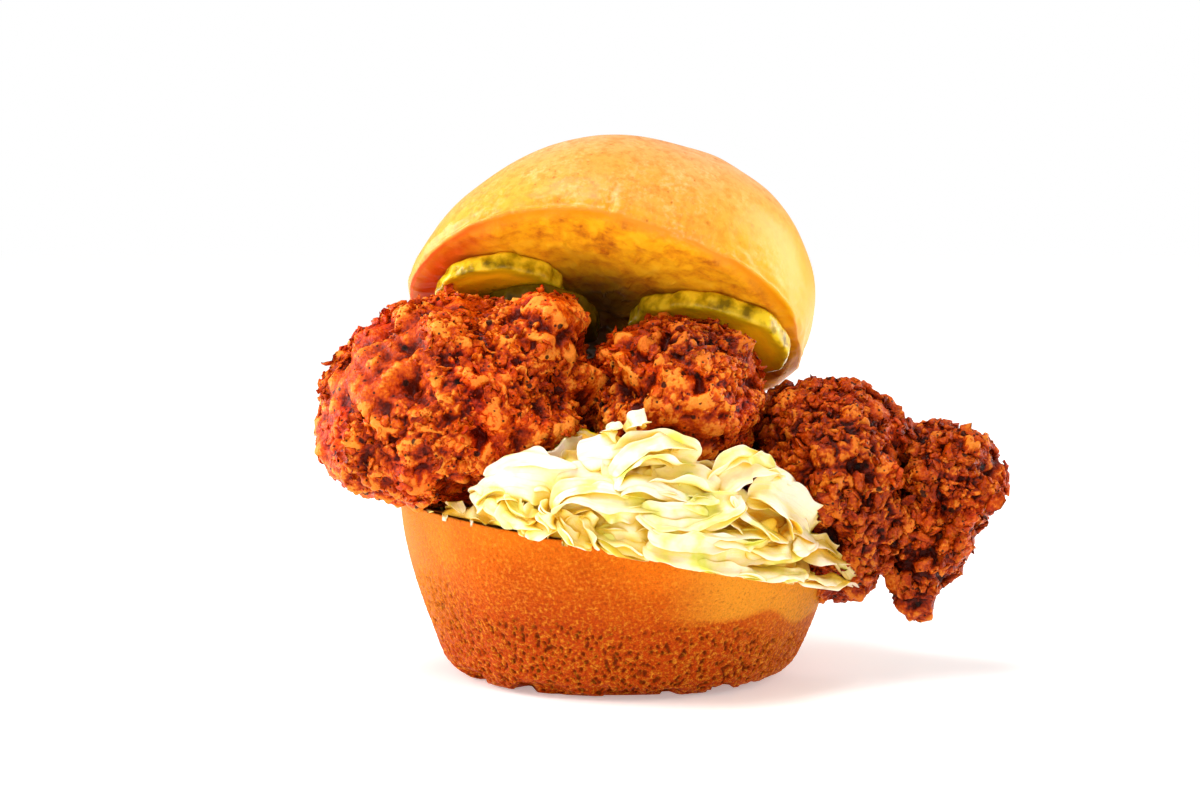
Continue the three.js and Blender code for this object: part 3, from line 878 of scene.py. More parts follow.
def fillet_mass(name):
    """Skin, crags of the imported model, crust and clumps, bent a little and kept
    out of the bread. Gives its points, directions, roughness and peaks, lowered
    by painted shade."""
    middle, steps, lobes = FILLET[name]
    directions, quads = ball_of_directions(steps)
    skin = find_skin(directions, np.array(middle, float), lobes)
    crag = lumps(skin, CRAG_SIZE, 4) + FINE_CRAG_SHARE * lumps(skin, FINE_CRAG_SIZE, 9)
    outward = slope(skin, lobes)
    rough = roughness_of_crust(skin)
    relief = crust_relief(skin, rough) + clump_relief(name, skin, outward)
    points = skin + directions * (CRAG_DEPTH * crag)[:, None] + outward * relief[:, None]
    points += (0.2 + 0.5 * rough[:, None]) * wander(skin, 1.9, 75)
    points = keep_off_heel(keep_below_crown(points))
    # Painted shade: darker beside the other masses, and on the front of some masses.
    beside_another = 1 - ease(lobe_field(points, lobes_but(name)), -1, 4)
    beside_another *= 0.15 + 0.35 * ease(points[:, 0], 20, 32)
    peak = crest(points, quads, outward) - beside_another
    peak -= FRIED_DARKER.get(name, 0) * (1 - ease(points[:, 1], -2, 14))
    crust_piece(f"chicken_{name}", points, quads, peak)
    return points, outward, rough, peak


masses = {name: fillet_mass(name) for name in FILLET}

# %% [markdown]
# ## Crumbs on the crust
# Loose lumps of fried flour sit on the crust, and they are what gives it a rough
# outline. A thousand copies of one ball would look like beads, so each lump is
# stretched, turned and dented on its own. They are placed on points of the
# finished skin, drawn by a seeded rule, and stay out from under the bread.

# %% Crumbs and flakes: one joined mesh for each kind
chance = np.random.default_rng(11)


def ball(subdivisions):
    """Unit points and triangles of an icosphere."""
    form = bmesh.new()
    bmesh.ops.create_icosphere(form, subdivisions=subdivisions, radius=1)
    points = np.array([v.co[:] for v in form.verts])
    faces = np.array([[v.index for v in f.verts] for f in form.faces])
    form.free()
    return points, faces


def turned_frames(normals):
    """Three square axes for each normal, turned about it by a random angle."""
    side = unit(np.cross(normals, chance.normal(size=normals.shape)))
    return np.stack([side, np.cross(normals, side), normals], axis=1)


def scattered(shape, places, normals, sizes, dent, bend=0.0):
    """Copies of a shape: scaled by its three sizes, bent by bend times x squared,
    turned to stand on its normal, moved to its place and dented by noise."""
    points, faces = shape
    scaled = points[None] * sizes[:, None, :]
    scaled[..., 2] += bend * scaled[..., 0] ** 2 / sizes[:, None, 0]
    world = np.einsum("nvi,nij->nvj", scaled, turned_frames(normals)) + places[:, None]
    flat = world.reshape(-1, 3)
    mean = np.repeat(sizes.mean(axis=1), len(points))
    flat = flat + (dent * mean)[:, None] * wander(flat, 0.9, 81)
    step = len(points) * np.arange(len(places))
    return flat, (faces[None] + step[:, None, None]).reshape(-1, 3)


def open_to_air(p):
    """Points with no bread or pickle within about two millimetres."""
    q = level_with_crown(p)
    ceiling = ceiling_over(q, rim_margin=1, bread_gap=2.2, slice_margin=1.5, slice_gap=1.5)
    return (q[:, 2] < ceiling) & (p[:, 2] > cut_height(p[:, 0], p[:, 1]) + 2)


def drawn_places(counts, prefer):
    """Points and normals on several masses, so many on each, away from the other
    masses and the bread. Their chances are what `prefer` makes of a mass's name,
    points, roughness and peaks."""
    places, normals = [], []
    for name, count in counts.items():
        points, outward, rough, peak = masses[name]
        bare = open_to_air(points) & (lobe_field(points, lobes_but(name)) > 0.6)
        odds = prefer(name, points, rough, peak) * bare
        chosen = chance.choice(len(points), count, replace=False, p=odds / odds.sum())
        places.append(points[chosen])
        normals.append(outward[chosen])
    return np.concatenate(places), np.concatenate(normals)


# %% Crumbs: lumps in two sizes and fine grit
# Least and most length, breadth and height of a lump, as shares of its size.
LUMP_LEAST, LUMP_MOST = [0.8, 0.5, 0.3], [1.7, 1.1, 0.8]


def build_crumbs(name, shape, smallest, largest, counts):
    """Lumps on several masses, each with its count, most near the smallest size:
    proud points of rough crust have the best chances."""
    places, normals = drawn_places(
        counts, lambda name, points, rough, peak: 0.03 + rough * ease(peak, 0.2, 0.6)
    )
    size = smallest * (largest / smallest) ** (chance.random(len(places)) ** 2)
    sizes = size[:, None] * chance.uniform(LUMP_LEAST, LUMP_MOST, (len(places), 3))
    seats = places + normals * 0.1 * size[:, None]
    points, faces = scattered(shape, seats, normals, sizes, dent=0.75)
    per = len(points) // len(places)
    away = points - np.repeat(places, per, axis=0)
    up = np.einsum("ij,ij->i", away, np.repeat(normals, per, axis=0)) / np.repeat(size, per)
    # Each lump is painted lighter on its outer side and darker at its foot, as shade.
    peak = 0.36 + 0.5 * ease(up, -0.4, 1.0) + 0.16 * soft_noise(points, 2, 83)
    crust_piece(name, points, faces, peak)


LUMPS_LEFT = {"left": 760, "centre": 440, "back": 600}
LUMPS_RIGHT = {"right": 800, "tail": 560, "tip": 90, "flap": 90}
GRIT = {
    "left": 2600, "centre": 1500, "right": 1700, "tail": 1300, "tip": 200, "flap": 150,
    "back": 1000,
}
build_crumbs("crumbs_left", ball(2), smallest=0.5, largest=1.5, counts=LUMPS_LEFT)
build_crumbs("crumbs_right", ball(2), smallest=0.6, largest=2.3, counts=LUMPS_RIGHT)
build_crumbs("crumbs_fine", ball(1), smallest=0.25, largest=0.6, counts=GRIT)

# %% Flakes: curled batter
FLAKES = {"centre": 80, "left": 190, "right": 90, "tail": 50, "back": 60}
# Least and most length, breadth and thickness of a flake, in mm.
FLAKE_LEAST, FLAKE_MOST = [1.0, 0.6, 0.22], [2.4, 1.4, 0.42]


def where_flakes_hold(name, points, rough, peak):
    """Chances of a flake: on top of the middle mass, and elsewhere on rough crust,
    in front more than at the sides, or behind on the mass at the back."""
    front, height = -points[:, 1], points[:, 2]
    if name == "centre":
        return ease(height, 68, 80) * ease(front, 5, 25)
    outer = {
        "left": ease(front, 0, 25),
        "right": ease(front, 0, 20),
        "back": ease(-front, 5, 20),
    }
    return 0.1 + rough * outer.get(name, 1)


def build_flakes():
    """Flattened balls, bent along their length and standing half up."""
    places, normals = drawn_places(FLAKES, where_flakes_hold)
    lean = unit(normals + 0.7 * chance.normal(size=normals.shape))
    sizes = chance.uniform(FLAKE_LEAST, FLAKE_MOST, (len(places), 3))
    points, faces = scattered(ball(2), places + normals * 0.3, lean, sizes, dent=0.7, bend=0.45)
    peak = np.clip(0.56 + 0.4 * soft_noise(points, 1.4, 85), 0, 1)
    crust_piece("crust_flakes", points, faces, peak)


build_flakes()

# %% [markdown]
# ## The slaw
# Creamy slaw is cabbage cut in ribbons and coated in thick dressing, so it folds
# like soft cloth and its edges are round. A ribbon is a flat, round-edged section
# carried along an arc. It is tipped upright or laid down, cupped across and
# ruffled along its edges. The large ribbons in front are listed one by one, as in the
# imported model, and smaller ones are laid over the rest of the heap by a rule.

# %% Slaw: the heap and its large leaves
LEAF_THICKNESS = 0.95
SLAW_MIDDLE = [3, -8, 35]
SLAW_LOBES = [
    ([0, -1, 33], [45, 44.5, 8.5]),
    ([6, -36, 41], [24, 12, 11]),
    ([-17, -37, 37.5], [13, 10, 6]),
    ([28, -32, 42], [11, 12, 9]),
]
# Start, the point the arc leans towards, end, width, tip and curl in degrees.
FRONT_LEAVES = [
    ([-9.6, -50.6, 55.5], [-0.5, -53.5, 59.3], [10.8, -50.4, 58.1], 7.5, 80, 50),
    ([-2.0, -53.5, 50.6], [2.1, -54.5, 60.7], [16.5, -49.8, 55.4], 8.5, 62, 60),
    ([-2.0, -50.5, 58.8], [-4.8, -51.3, 63.9], [-0.5, -51.5, 63.0], 2.6, 20, 40),
    ([1.7, -50.5, 59.9], [1.7, -51.5, 65.8], [5.2, -50.2, 62.5], 3, 35, 40),
    ([-31.4, -43.3, 49.2], [-23.3, -49.3, 53.6], [-9.1, -50.7, 49.9], 10.5, 80, 45),
    ([-31.9, -42.9, 43.6], [-28.9, -46.2, 49.3], [-22.3, -47.5, 46.2], 4.5, 50, 30),
    ([-14.4, -50.5, 50.7], [-4.8, -53.3, 53.2], [5.6, -52.2, 50.5], 7, 70, 40),
    ([-14.3, -53.6, 44.6], [-10.4, -55.5, 50.9], [10.8, -53.4, 46.3], 6.5, 58, 60),
    ([-1.4, -56.5, 50.2], [2.5, -57.4, 55.5], [17.7, -52.6, 45.7], 4.5, 45, 60),
    ([3.8, -54.4, 51.2], [14.2, -53.7, 53.3], [21.3, -49.1, 48.3], 5, 40, 50),
    ([9.9, -53.6, 48.5], [14.6, -53.5, 46.7], [20.4, -50.5, 48.1], 3, 20, 40),
    ([3.8, -55.4, 47.0], [15.9, -55.3, 39.6], [26.1, -49.0, 47.9], 6.5, 70, 55),
    ([24.3, -51.0, 47.7], [26.5, -49.9, 41.9], [36.5, -40.5, 37.0], 5.5, 35, 55),
    ([20.5, -48.3, 48.7], [24.9, -47.4, 57.4], [34.3, -38.4, 51.0], 6.5, 70, 50),
    ([31.4, -42.1, 51.4], [36.6, -37.7, 52.7], [40.7, -31.5, 46.5], 5.5, 60, 50),
    ([27.6, -47.0, 47.6], [38.3, -38.8, 45.7], [41.7, -32.0, 36.6], 9.5, 75, 40),
    ([26.3, -47.8, 36.3], [36.1, -42.1, 32.7], [42.0, -33.2, 38.6], 6.5, 60, 50),
    ([4.7, -55.3, 38.3], [15.5, -55.4, 31.8], [31.8, -44.3, 36.2], 8, 76, 45),
    ([-4.8, -53.3, 41.5], [3.8, -54.4, 37.7], [16.9, -50.7, 40.2], 7, 65, 40),
    ([16.0, -53.1, 32.3], [24.8, -50.8, 31.0], [32.1, -46.5, 28.8], 3.2, 45, 40),
    ([25.3, -49.4, 31.7], [34.0, -45.2, 28.8], [41.4, -35.4, 29.0], 4, 50, 50),
    ([38.7, -35.5, 33.1], [46.5, -28.4, 34.2], [54.4, -19.3, 27.8], 7, 65, 40),
    ([40.1, -35.5, 28.5], [47.7, -26.3, 24.3], [53.5, -19.3, 26.4], 4, 50, 50),
    ([-25.4, -47.1, 47.2], [-24.4, -48.7, 41.7], [-18.3, -49.2, 42.7], 5.5, 55, 50),
    ([-16.5, -51.9, 47.0], [-18.2, -52.4, 43.1], [-15.2, -52.3, 40.7], 4, 40, 50),
    ([-13.0, -51.9, 45.2], [-12.2, -53.1, 39.3], [-6.1, -52.1, 38.7], 5.5, 60, 50),
    ([-7.0, -54.1, 45.5], [-7.2, -55.0, 41.3], [-4.4, -53.3, 37.6], 3.4, 30, 40),
    ([-5.2, -53.2, 41.9], [-0.9, -54.5, 36.4], [6.0, -53.2, 37.1], 5.5, 60, 50),
    ([16.8, -52.9, 40.5], [24.8, -50.8, 36.7], [34.1, -42.5, 40.4], 5, 55, 50),
    ([6.0, -51.1, 55.6], [10.0, -50.5, 53.8], [14.8, -49.3, 55.4], 8, 75, 30),
    ([-7.0, -54.1, 48.1], [-0.5, -54.5, 45.1], [6.0, -54.2, 46.4], 6, 65, 40),
]
print("leaves placed by hand:", len(FRONT_LEAVES))

# %% Slaw: one ribbon
HALF_WIDTH = 0.62  # of a ribbon at its middle, as a share of its stated width
CREASE_DEPTH = 0.42
CREASE_ROUND = 0.02


def level_across(along):
    """Level unit vectors square to those given."""
    return unit(np.cross([0, 0, 1.0], along))


def ribbon(start, over, end, width, tip, curl, seed, rows, around):
    """A closed ribbon. Along it, t runs 0 to 1 on the arc (1-t)²·start +
    2t(1-t)·over + t²·end; round its section, s gives side = cos s and layer =
    sin s. Its width direction is the level one turned by the tip about the arc.
    The section is rolled to an arc of twice the curl, every second one the other
    way, then creased along a line that wanders, and its edges are frilled. Also
    gives each point's place across and along the flat ribbon, in mm."""
    start, over, end = (np.array(p, float) for p in (start, over, end))
    t = np.linspace(0, 1, rows)[:, None]
    phase = 2.4 * seed
    middle = (1 - t) ** 2 * start + 2 * t * (1 - t) * over + t**2 * end
    along = unit((1 - t) * (over - start) + t * (end - over))
    level = level_across(along)
    turn = np.radians(tip + 18 * np.sin(5 * t + phase))
    across = level * np.cos(turn) + np.cross(along, level) * np.sin(turn)
    out = np.cross(along, across)
    s = full_turn(around)
    side, layer = np.cos(s), np.sin(s)
    torn = 0.04 * np.sin(3 * side + phase) * np.sign(t - 0.5)
    end_round = np.sqrt(np.clip(1 - np.abs(2 * t - 1) ** 9, 0.01, 1))
    taper = (0.55 + 0.45 * np.sin(np.pi * (0.14 + 0.72 * t))) * end_round
    wave = 1 + 0.14 * np.sin(9 * t + phase) + 0.08 * np.sin(21 * t + 2 * phase)
    half = HALF_WIDTH * width * taper * wave
    roll = math.radians(curl) * (1 + 0.5 * np.sin(4 * t + 2 * phase)) * (-1) ** seed
    crease = np.sqrt((side - 0.5 * np.sin(3.5 * t + 3 * phase)) ** 2 + CREASE_ROUND)
    frill = 0.17 * np.sin(11 * t + phase + 1.6 * side) + 0.06 * np.sin(23 * t + 2 * phase + side)
    thickness = LEAF_THICKNESS / 2 * (0.55 + 0.45 * (1 - side**2)) * end_round
    lift = layer * thickness - half * (1 - np.cos(roll * side)) / roll
    lift = lift + half * (CREASE_DEPTH * crease + np.abs(side) ** 1.6 * frill)
    uneven = 1 + 0.12 * side * np.sin(7 * t + 3 * phase) + 0.06 * np.sin(17 * t + phase + side)
    span = half * np.sin(roll * side) / roll * uneven
    grid = middle[:, None] + across[:, None] * span[..., None] + out[:, None] * lift[..., None]
    grid = grid + along[:, None] * (torn * width)[..., None] * (np.abs(2 * t - 1) ** 4)[..., None]
    skin = flat_skin(grid, grid[0].mean(axis=0), grid[-1].mean(axis=0))
    reach = np.linalg.norm(np.diff(middle, axis=0), axis=1).sum()
    place = np.broadcast_arrays(half * side, reach * t)
    return skin, [with_ends(values.ravel()) for values in place]


# %% Slaw: where the smaller ribbons lie
def strips_beside(leaves):
    """A narrow strip lying on each leaf: the leaf's own arc, moved a little up or
    down and outwards, thinner, and tipped and curled anew."""
    for start, over, end, width, tip, _ in leaves:
        shift = np.array([chance.uniform(-1, 1), -0.9, chance.uniform(-0.4, 0.4) * width])
        arc = [np.array(p) + shift + chance.normal(0, 0.5, 3) for p in (start, over, end)]
        width = chance.uniform(2.0, 3.8)
        yield *arc, width, tip + chance.uniform(-14, 14), chance.uniform(15, 40)


def rim_ribbons(count, first=-138, last=-64):
    """Small ribbons that lie along the heel's rim in front, half over it: each
    takes an arc of the wall's circle, just above the cut."""
    for middle in np.radians(np.linspace(first, last, count)):
        reach = math.radians(4 + 2 * chance.random())
        angles = middle + reach * np.array([-1, 0.1, 1])
        radius = HEEL_RADIUS + np.array([-4.5, 0.8, -3.5]) * chance.uniform(0.7, 1.1)
        arc = polar(radius, angles, 0)
        arc[:, 2] = cut_height(arc[:, 0], arc[:, 1]) + chance.uniform(0.1, 1.7, 3)
        yield *arc, chance.uniform(3.0, 5.5), chance.uniform(15, 60), chance.uniform(25, 55)


def slant(p):
    """The heap's lobes are level; this gives them the slant of the heel's cut."""
    return raised(p, cut_height(p[:, 0], p[:, 1]) - CUT_HEIGHT)


def heap_ribbons(count, first, last, highest):
    """Ribbons laid over the heap between two angles in degrees, on directions that
    rise by up to `highest` for each mm out: a random place on its skin, a mostly
    level way along it, an arc that bows out, and ends that go in."""
    around = chance.uniform(math.radians(first), math.radians(last), count)
    directions = unit(polar(1.0, around, chance.uniform(-0.12, highest, count)))
    skin = find_skin(directions, np.array(SLAW_MIDDLE, float), SLAW_LOBES)
    normals = slope(skin, SLAW_LOBES)
    skin = slant(skin)
    level = level_across(normals)
    rise = np.cross(normals, level)
    heading = chance.normal(0, 0.45, count)[:, None]
    along = level * np.cos(heading) + rise * np.sin(heading)
    half = chance.uniform(4, 10, count)[:, None]
    bow = normals * chance.uniform(2.0, 5.0, count)[:, None]
    width = chance.uniform(2.6, 6.5, count)
    tip, curl = chance.uniform(15, 80, count), chance.uniform(25, 65, count)
    start, end = skin - along * half - normals, skin + along * half - normals
    return zip(start, skin + bow, end, width, tip, curl)


# %% Slaw: the core under the ribbons, and one mesh of each kind of ribbon
CORE_SUNK = 1.4
FRONT_SAG = 2.6


def keep_off_fillet(p, margin=1.6, passes=3):
    """Points within the margin of the fillet move out along its slope."""
    lobes = lobes_but()
    for _ in range(passes):
        depth = margin - lobe_field(p, lobes)
        inside = depth > 0
        if inside.any():
            p = p.copy()
            p[inside] += slope(p[inside], lobes) * depth[inside, None]
    return p


def build_slaw_core():
    """The heap's own skin with folds, sunk a little under the ribbons. Its front
    edge sags on the rim, so that no dark slit is left under it."""
    directions, quads = ball_of_directions(46)
    skin = find_skin(directions, np.array(SLAW_MIDDLE, float), SLAW_LOBES)
    folds = 0.8 * lumps(skin, 9, 5) + 1.2 * soft_noise(skin * [1, 1, 2], 4, 91)
    points = slant(skin + directions * (folds - CORE_SUNK)[:, None])
    edge = ease(np.hypot(points[:, 0], points[:, 1]), 36, 47)
    points[:, 2] -= FRONT_SAG * edge * ease(-points[:, 1], 8, 30)
    points = keep_off_heel(keep_off_fillet(points), 0.4)
    make_piece(
        "slaw_core", points, [quads], "cabbage_slaw", "slaw", deep=np.ones(len(points)),
        tint=np.full(len(points), 0.5), across=points[:, 2], along=points[:, 0] + points[:, 1],
    )


def depth_in_heap(p):
    """0 on ribbons that stand proud of the heap, 1 a few millimetres inside it."""
    return ease(-lobe_field(2 * p - slant(p), SLAW_LOBES), -3.5, 2.5)


def build_ribbons(name, leaves, first_seed, rows, around):
    """All ribbons of one kind in one mesh, bent by noise and kept off the rest."""
    points, faces, places = [], [], []
    for number, leaf in enumerate(leaves):
        skin, place = ribbon(*leaf, first_seed + number, rows, around)
        points.append(skin + 0.5 * wander(skin, 5.5, 93) + 0.2 * wander(skin, 2.0, 94))
        faces.append([f + number * len(skin) for f in wrapped_grid(rows, around)])
        places.append(place)
    points = keep_off_heel(keep_off_fillet(np.concatenate(points)), 0.4, overhang=1.5)
    across, along = np.concatenate(places, axis=1)
    make_piece(
        name, points, [np.concatenate(sets) for sets in zip(*faces)], "cabbage_slaw", "slaw",
        deep=depth_in_heap(points), across=across, along=along,
        tint=np.repeat(chance.random(len(faces)), rows * around + 2),
    )


build_slaw_core()
build_ribbons("slaw_leaves", FRONT_LEAVES, first_seed=0, rows=86, around=26)
build_ribbons("slaw_strips", strips_beside(FRONT_LEAVES), first_seed=240, rows=80, around=16)
build_ribbons("slaw_rim", rim_ribbons(20), first_seed=200, rows=40, around=16)
in_front = heap_ribbons(44, first=-150, last=-25, highest=0.75)
build_ribbons("slaw_shreds", in_front, first_seed=40, rows=46, around=16)
behind = heap_ribbons(84, first=-25, last=210, highest=0.12)
build_ribbons("slaw_back", behind, first_seed=100, rows=36, around=14)

# %% [markdown]
# ## Slices of pickle
# A slice is a thick disc of cucumber with a knobbly dark rind and a pale, wet
# face with seeds. A bevelled cylinder would be a start, but on a grid the rind
# gets its warts and the face its seeds from the same noise as the crusts. It is
# modelled level and then bent with the crown's face that it sticks to, by the
# crown's own function.

# %% Pickles: knobbly rind, wet face
HALF_SLICE = PICKLE_THICKNESS / 2
RIND_ROUND = 1.3
FACE_SHARE, RIND_SHARE = 0.36, 0.28
SEED_RING = 0.72


def slice_skin(radius, oval, seed, rows=56, around=150):
    """Half a slice's outline runs from the middle of the lower face, out, round
    the rind and back: t below 0.36 is the lower face, above 0.64 the upper one,
    and between them a half circle squared a little. Gives points, faces, and how
    far each point is on the rind and out from the middle."""
    t = np.linspace(0.02, 0.98, rows)[:, None]
    angle = full_turn(around)
    bend = np.clip((t - FACE_SHARE) / RIND_SHARE, 0, 1) * np.pi
    inner = radius - RIND_ROUND
    reach = np.minimum(np.where(t < 0.5, t, 1 - t) / FACE_SHARE, 1) * inner
    at_rind = reach > inner - 0.1
    r = reach + RIND_ROUND * np.sin(bend) ** 0.7 * at_rind
    z = -HALF_SLICE * np.sign(np.cos(bend)) * np.abs(np.cos(bend)) ** 0.6
    wave = 1 + 0.02 * np.sin(7 * angle + seed) + 0.015 * np.sin(11 * angle)
    wave = wave + oval * np.cos(2 * (angle - PICKLE_LONG_WAY))
    grid = polar(r * wave, angle, z)
    flat = grid.reshape(-1, 3)
    rind = np.repeat(ease(np.sin(bend), 0.1, 0.5) * at_rind, around)
    reach = np.repeat(reach, around)
    warts = 0.75 * knobs(flat + [0, 0, 9 * seed], 3.2, 101) - 0.35
    flat = flat + unit(flat * [1, 1, 0], 1e-9) * (warts * rind)[:, None]
    seeds = 0.22 * knobs(flat * [1, 1, 0.2], 2.3, 102) * ease(reach, 3, 5)
    flat[:, 2] += np.sign(flat[:, 2]) * seeds * (1 - rind) * (reach < radius * SEED_RING)
    points = flat_skin(flat.reshape(grid.shape), [0, 0, -HALF_SLICE], [0, 0, HALF_SLICE])
    return points, wrapped_grid(rows, around), with_ends(rind), with_ends(reach / inner)


def build_pickle(name, seed, radius, oval, shade, place):
    """A slice, moved to where it lies by the function given, and darker all over
    by the shade."""
    points, faces, rind, ring = slice_skin(radius, oval, seed)
    make_piece(
        f"{name}_slice", place(points), faces, "pickle", name,
        rind=rind, ring=ring, shade=np.full(len(points), shade),
    )


SLICE_SHADE = {"pickle_middle": 0.85}  # it lies behind and below another slice
for seed, (name, (across, back, layer, radius, oval)) in enumerate(PICKLES.items()):
    low = -(GAP + HALF_SLICE + layer * (PICKLE_THICKNESS + GAP))
    build_pickle(
        name, seed, radius, oval, SLICE_SHADE.get(name, 0.0),
        lambda points: place_on_crown(points + [across, back, low]),
    )
LOW_SLICE_TURN = about_x(math.radians(55))
LOW_SLICE_AT = [-9.5, -38, 55.5]
build_pickle(
    "pickle_low", seed=3, radius=6, oval=0, shade=0.3,
    place=lambda points: points @ LOW_SLICE_TURN.T + LOW_SLICE_AT,
)

# %% [markdown]
# ## Finishes
# Baked, fried, dressed and pickled food all let a little light in under their
# skin, and most of what an eye reads is how colour follows the relief. Crevices
# and folds are painted darker, as shade, so each material takes its colour from
# the attributes that the meshes carry, and adds specks and pores with noise
# whose scale is worked out from real millimetres.

# %% Colours and nodes
def linear(code):
    """An sRGB hex value as linear red, green, blue and alpha: a channel c turns
    into ((c + 0.055) / 1.055)^2.4, or c / 12.92 where it is very dark."""
    channels = [int(code[i:i + 2], 16) / 255 for i in (1, 3, 5)]
    return [c / 12.92 if c < 0.04045 else ((c + 0.055) / 1.055) ** 2.4 for c in channels] + [1.0]


def add(material, kind, sockets=(), stops=(), out=0, **settings):
    """Adds a node and gives one of its outputs. A socket's value is a number, a
    list, a hex colour or an output to link from. `stops` are the places and hex
    colours of a ramp."""
    node = material.node_tree.nodes.new("ShaderNode" + kind)
    for key, value in settings.items():
        setattr(node, key, value)
    for key, value in dict(sockets).items():
        if isinstance(value, bpy.types.NodeSocket):
            material.node_tree.links.new(value, node.inputs[key])
        else:
            node.inputs[key].default_value = linear(value) if isinstance(value, str) else value
    if stops:
        ramp = node.color_ramp.elements
        while len(ramp) < len(stops):
            ramp.new(1)
        for element, (place, code) in zip(ramp, stops):
            element.position = place
            element.color = linear(code)
    return node.outputs[out] if node.outputs else node


# Sockets that share a name go by number. Mix blends colour 6 into 7 by 0, and Map
# Range turns the span from 1 to 2 into the span from 3 to 4.
COLOURS = {"out": 2, "data_type": "RGBA"}


def per_mm(size):
    """The scale of a texture on Object coordinates, in metres, whose pattern is
    `size` mm wide."""
    return 1 / (size * MM)


# %% What every finish starts and ends with
def new_finish(name, *marks):
    """An empty material, its Object coordinates, and an output for each of the
    mesh attributes that it reads."""
    m = bpy.data.materials.new(name)
    m.use_nodes = True
    m.node_tree.nodes.clear()
    where = add(m, "TexCoord", out="Object")
    return m, where, *(add(m, "Attribute", out="Fac", attribute_name=mark) for mark in marks)


def spotted(m, where, colour, size, radius, fade, strength, spot_colour):
    """Round spots over a colour, one to a cell `size` mm wide: full out to a
    radius, in cells, and gone a little further out."""
    spot = add(m, "TexVoronoi", {"Vector": where, "Scale": per_mm(size)})
    spot = add(m, "MapRange", {"Value": spot, 1: radius + fade, 2: radius, 3: 0.0, 4: strength})
    return add(m, "Mix", {0: spot, 6: colour, 7: spot_colour}, **COLOURS)


def surface(m, colour, height, depth, **sockets):
    """The shader, with a bump `depth` mm deep. Sockets are named in one word."""
    bump = add(m, "Bump", {"Height": height, "Distance": depth * MM})
    names = {key.replace("_", " "): value for key, value in sockets.items()}
    names |= {"Base Color": colour, "Normal": bump}
    add(m, "OutputMaterial", {"Surface": add(m, "BsdfPrincipled", names)})
    return m


# %% [markdown]
# ### Egg-washed crust
# The crown is enriched dough, brushed with egg and baked: a smooth amber skin
# that shines, finely crackled with whitish patches that are partly painted sheen,
# deeper in colour at the rim, and more golden low on the right, partly as painted
# light. Its underside is soft golden crumb with a few toasted streaks, painted dark
# in the middle as shade. One material covers both, because the skin turns to
# crumb along a torn line that no edge of a mesh would follow.

# %% Finish: egg-washed crust of the crown
def make_crown_crust():
    """Amber by height, with whitish crackling that is partly painted sheen, mealy
    and freckled places, painted light low on the right, and crumb on the cut
    with painted shade in its middle.
    """
    m, where, rise, cut, red, gold, soaked, under = new_finish(
        "egg_washed_crust", "rise", "cut", "red", "gold", "soaked", "under"
    )
    patch = add(m, "TexNoise", {"Vector": where, "Scale": per_mm(22), "Detail": 3.0})
    along = add(m, "Math", {0: patch, 1: 1.0, 2: -0.5}, operation="MULTIPLY_ADD")
    along = add(m, "Math", {0: rise, 1: along})
    skin = add(m, "ValToRGB", {0: along}, stops=[
        (0.0, "#E08E1C"), (0.14, "#E09428"), (0.34, "#E0963C"), (0.7, "#E0A060"), (1.0, "#DEA062"),
    ])
    fine = add(m, "TexNoise", {"Vector": where, "Scale": per_mm(1.0), "Detail": 5.0})
    # Whitish crackle: partly worn crust and partly a painted sheen on the shiny skin.
    worn = add(m, "TexNoise", {"Vector": where, "Scale": per_mm(9), "Detail": 4.0})
    worn = add(m, "MapRange", {"Value": worn, 1: 0.42, 2: 0.62, 3: 0.03, 4: 0.3})
    crackle = add(m, "MapRange", {"Value": fine, 1: 0.45, 2: 0.65, 3: 0.0, 4: worn})
    skin = add(m, "Mix", {0: crackle, 6: skin, 7: "#F4D49C"}, **COLOURS)
    mealy = {"Vector": where, "Scale": per_mm(2.4), "Detail": 7.0, "Roughness": 0.7}
    mealy = add(m, "TexNoise", mealy)
    mealy = add(m, "MapRange", {"Value": mealy, 1: 0.45, 2: 0.68, 3: 0.0, 4: 0.8})
    skin = add(m, "Mix", {0: mealy, 6: skin, 7: "#C87420"}, **COLOURS)
    for size, radius in ((4.2, 0.11), (2.0, 0.12)):
        skin = spotted(m, where, skin, size, radius, 0.06, mealy, "#A4500A")
    toast = {"Vector": where, "Scale": per_mm(5), "Detail": 7.0, "Roughness": 0.62}
    toast = add(m, "TexNoise", toast)
    crumb = add(m, "ValToRGB", {0: toast}, stops=[
        (0.3, "#AC5402"), (0.42, "#DA8604"), (0.55, "#EEA408"), (0.75, "#F6B620"),
    ])
    # The middle of the cut is painted dark as shade.
    crumb = add(m, "Mix", {0: soaked, 6: crumb, 7: "#3A1402"}, **COLOURS)
    # Golden low on the right, partly the crust's own colour and partly painted light.
    gold = add(m, "Math", {0: gold, 1: 0.8}, operation="MULTIPLY")
    skin = add(m, "Mix", {0: gold, 6: skin, 7: "#F0B000"}, **COLOURS)
    skin = add(m, "Mix", {0: under, 6: skin, 7: "#DE8402"}, **COLOURS)
    colour = add(m, "Mix", {0: cut, 6: skin, 7: crumb}, **COLOURS)
    colour = add(m, "Mix", {0: red, 6: colour, 7: "#CC4600"}, **COLOURS)
    dull = add(m, "Math", {0: cut, 1: red}, operation="MAXIMUM")
    rough = add(m, "Math", {0: dull, 1: 0.4, 2: 0.36}, operation="MULTIPLY_ADD")
    torn = add(m, "Math", {0: cut, 1: toast}, operation="MULTIPLY")
    height = add(m, "Math", {0: fine, 1: 0.35, 2: torn}, operation="MULTIPLY_ADD")
    return surface(
        m, colour, height, 0.22, Roughness=rough, IOR=1.45, Specular_IOR_Level=0.2,
        Coat_Weight=0.08, Coat_Roughness=0.3, Subsurface_Weight=0.08,
        Subsurface_Radius=[0.9, 0.35, 0.1], Subsurface_Scale=0.003,
    )
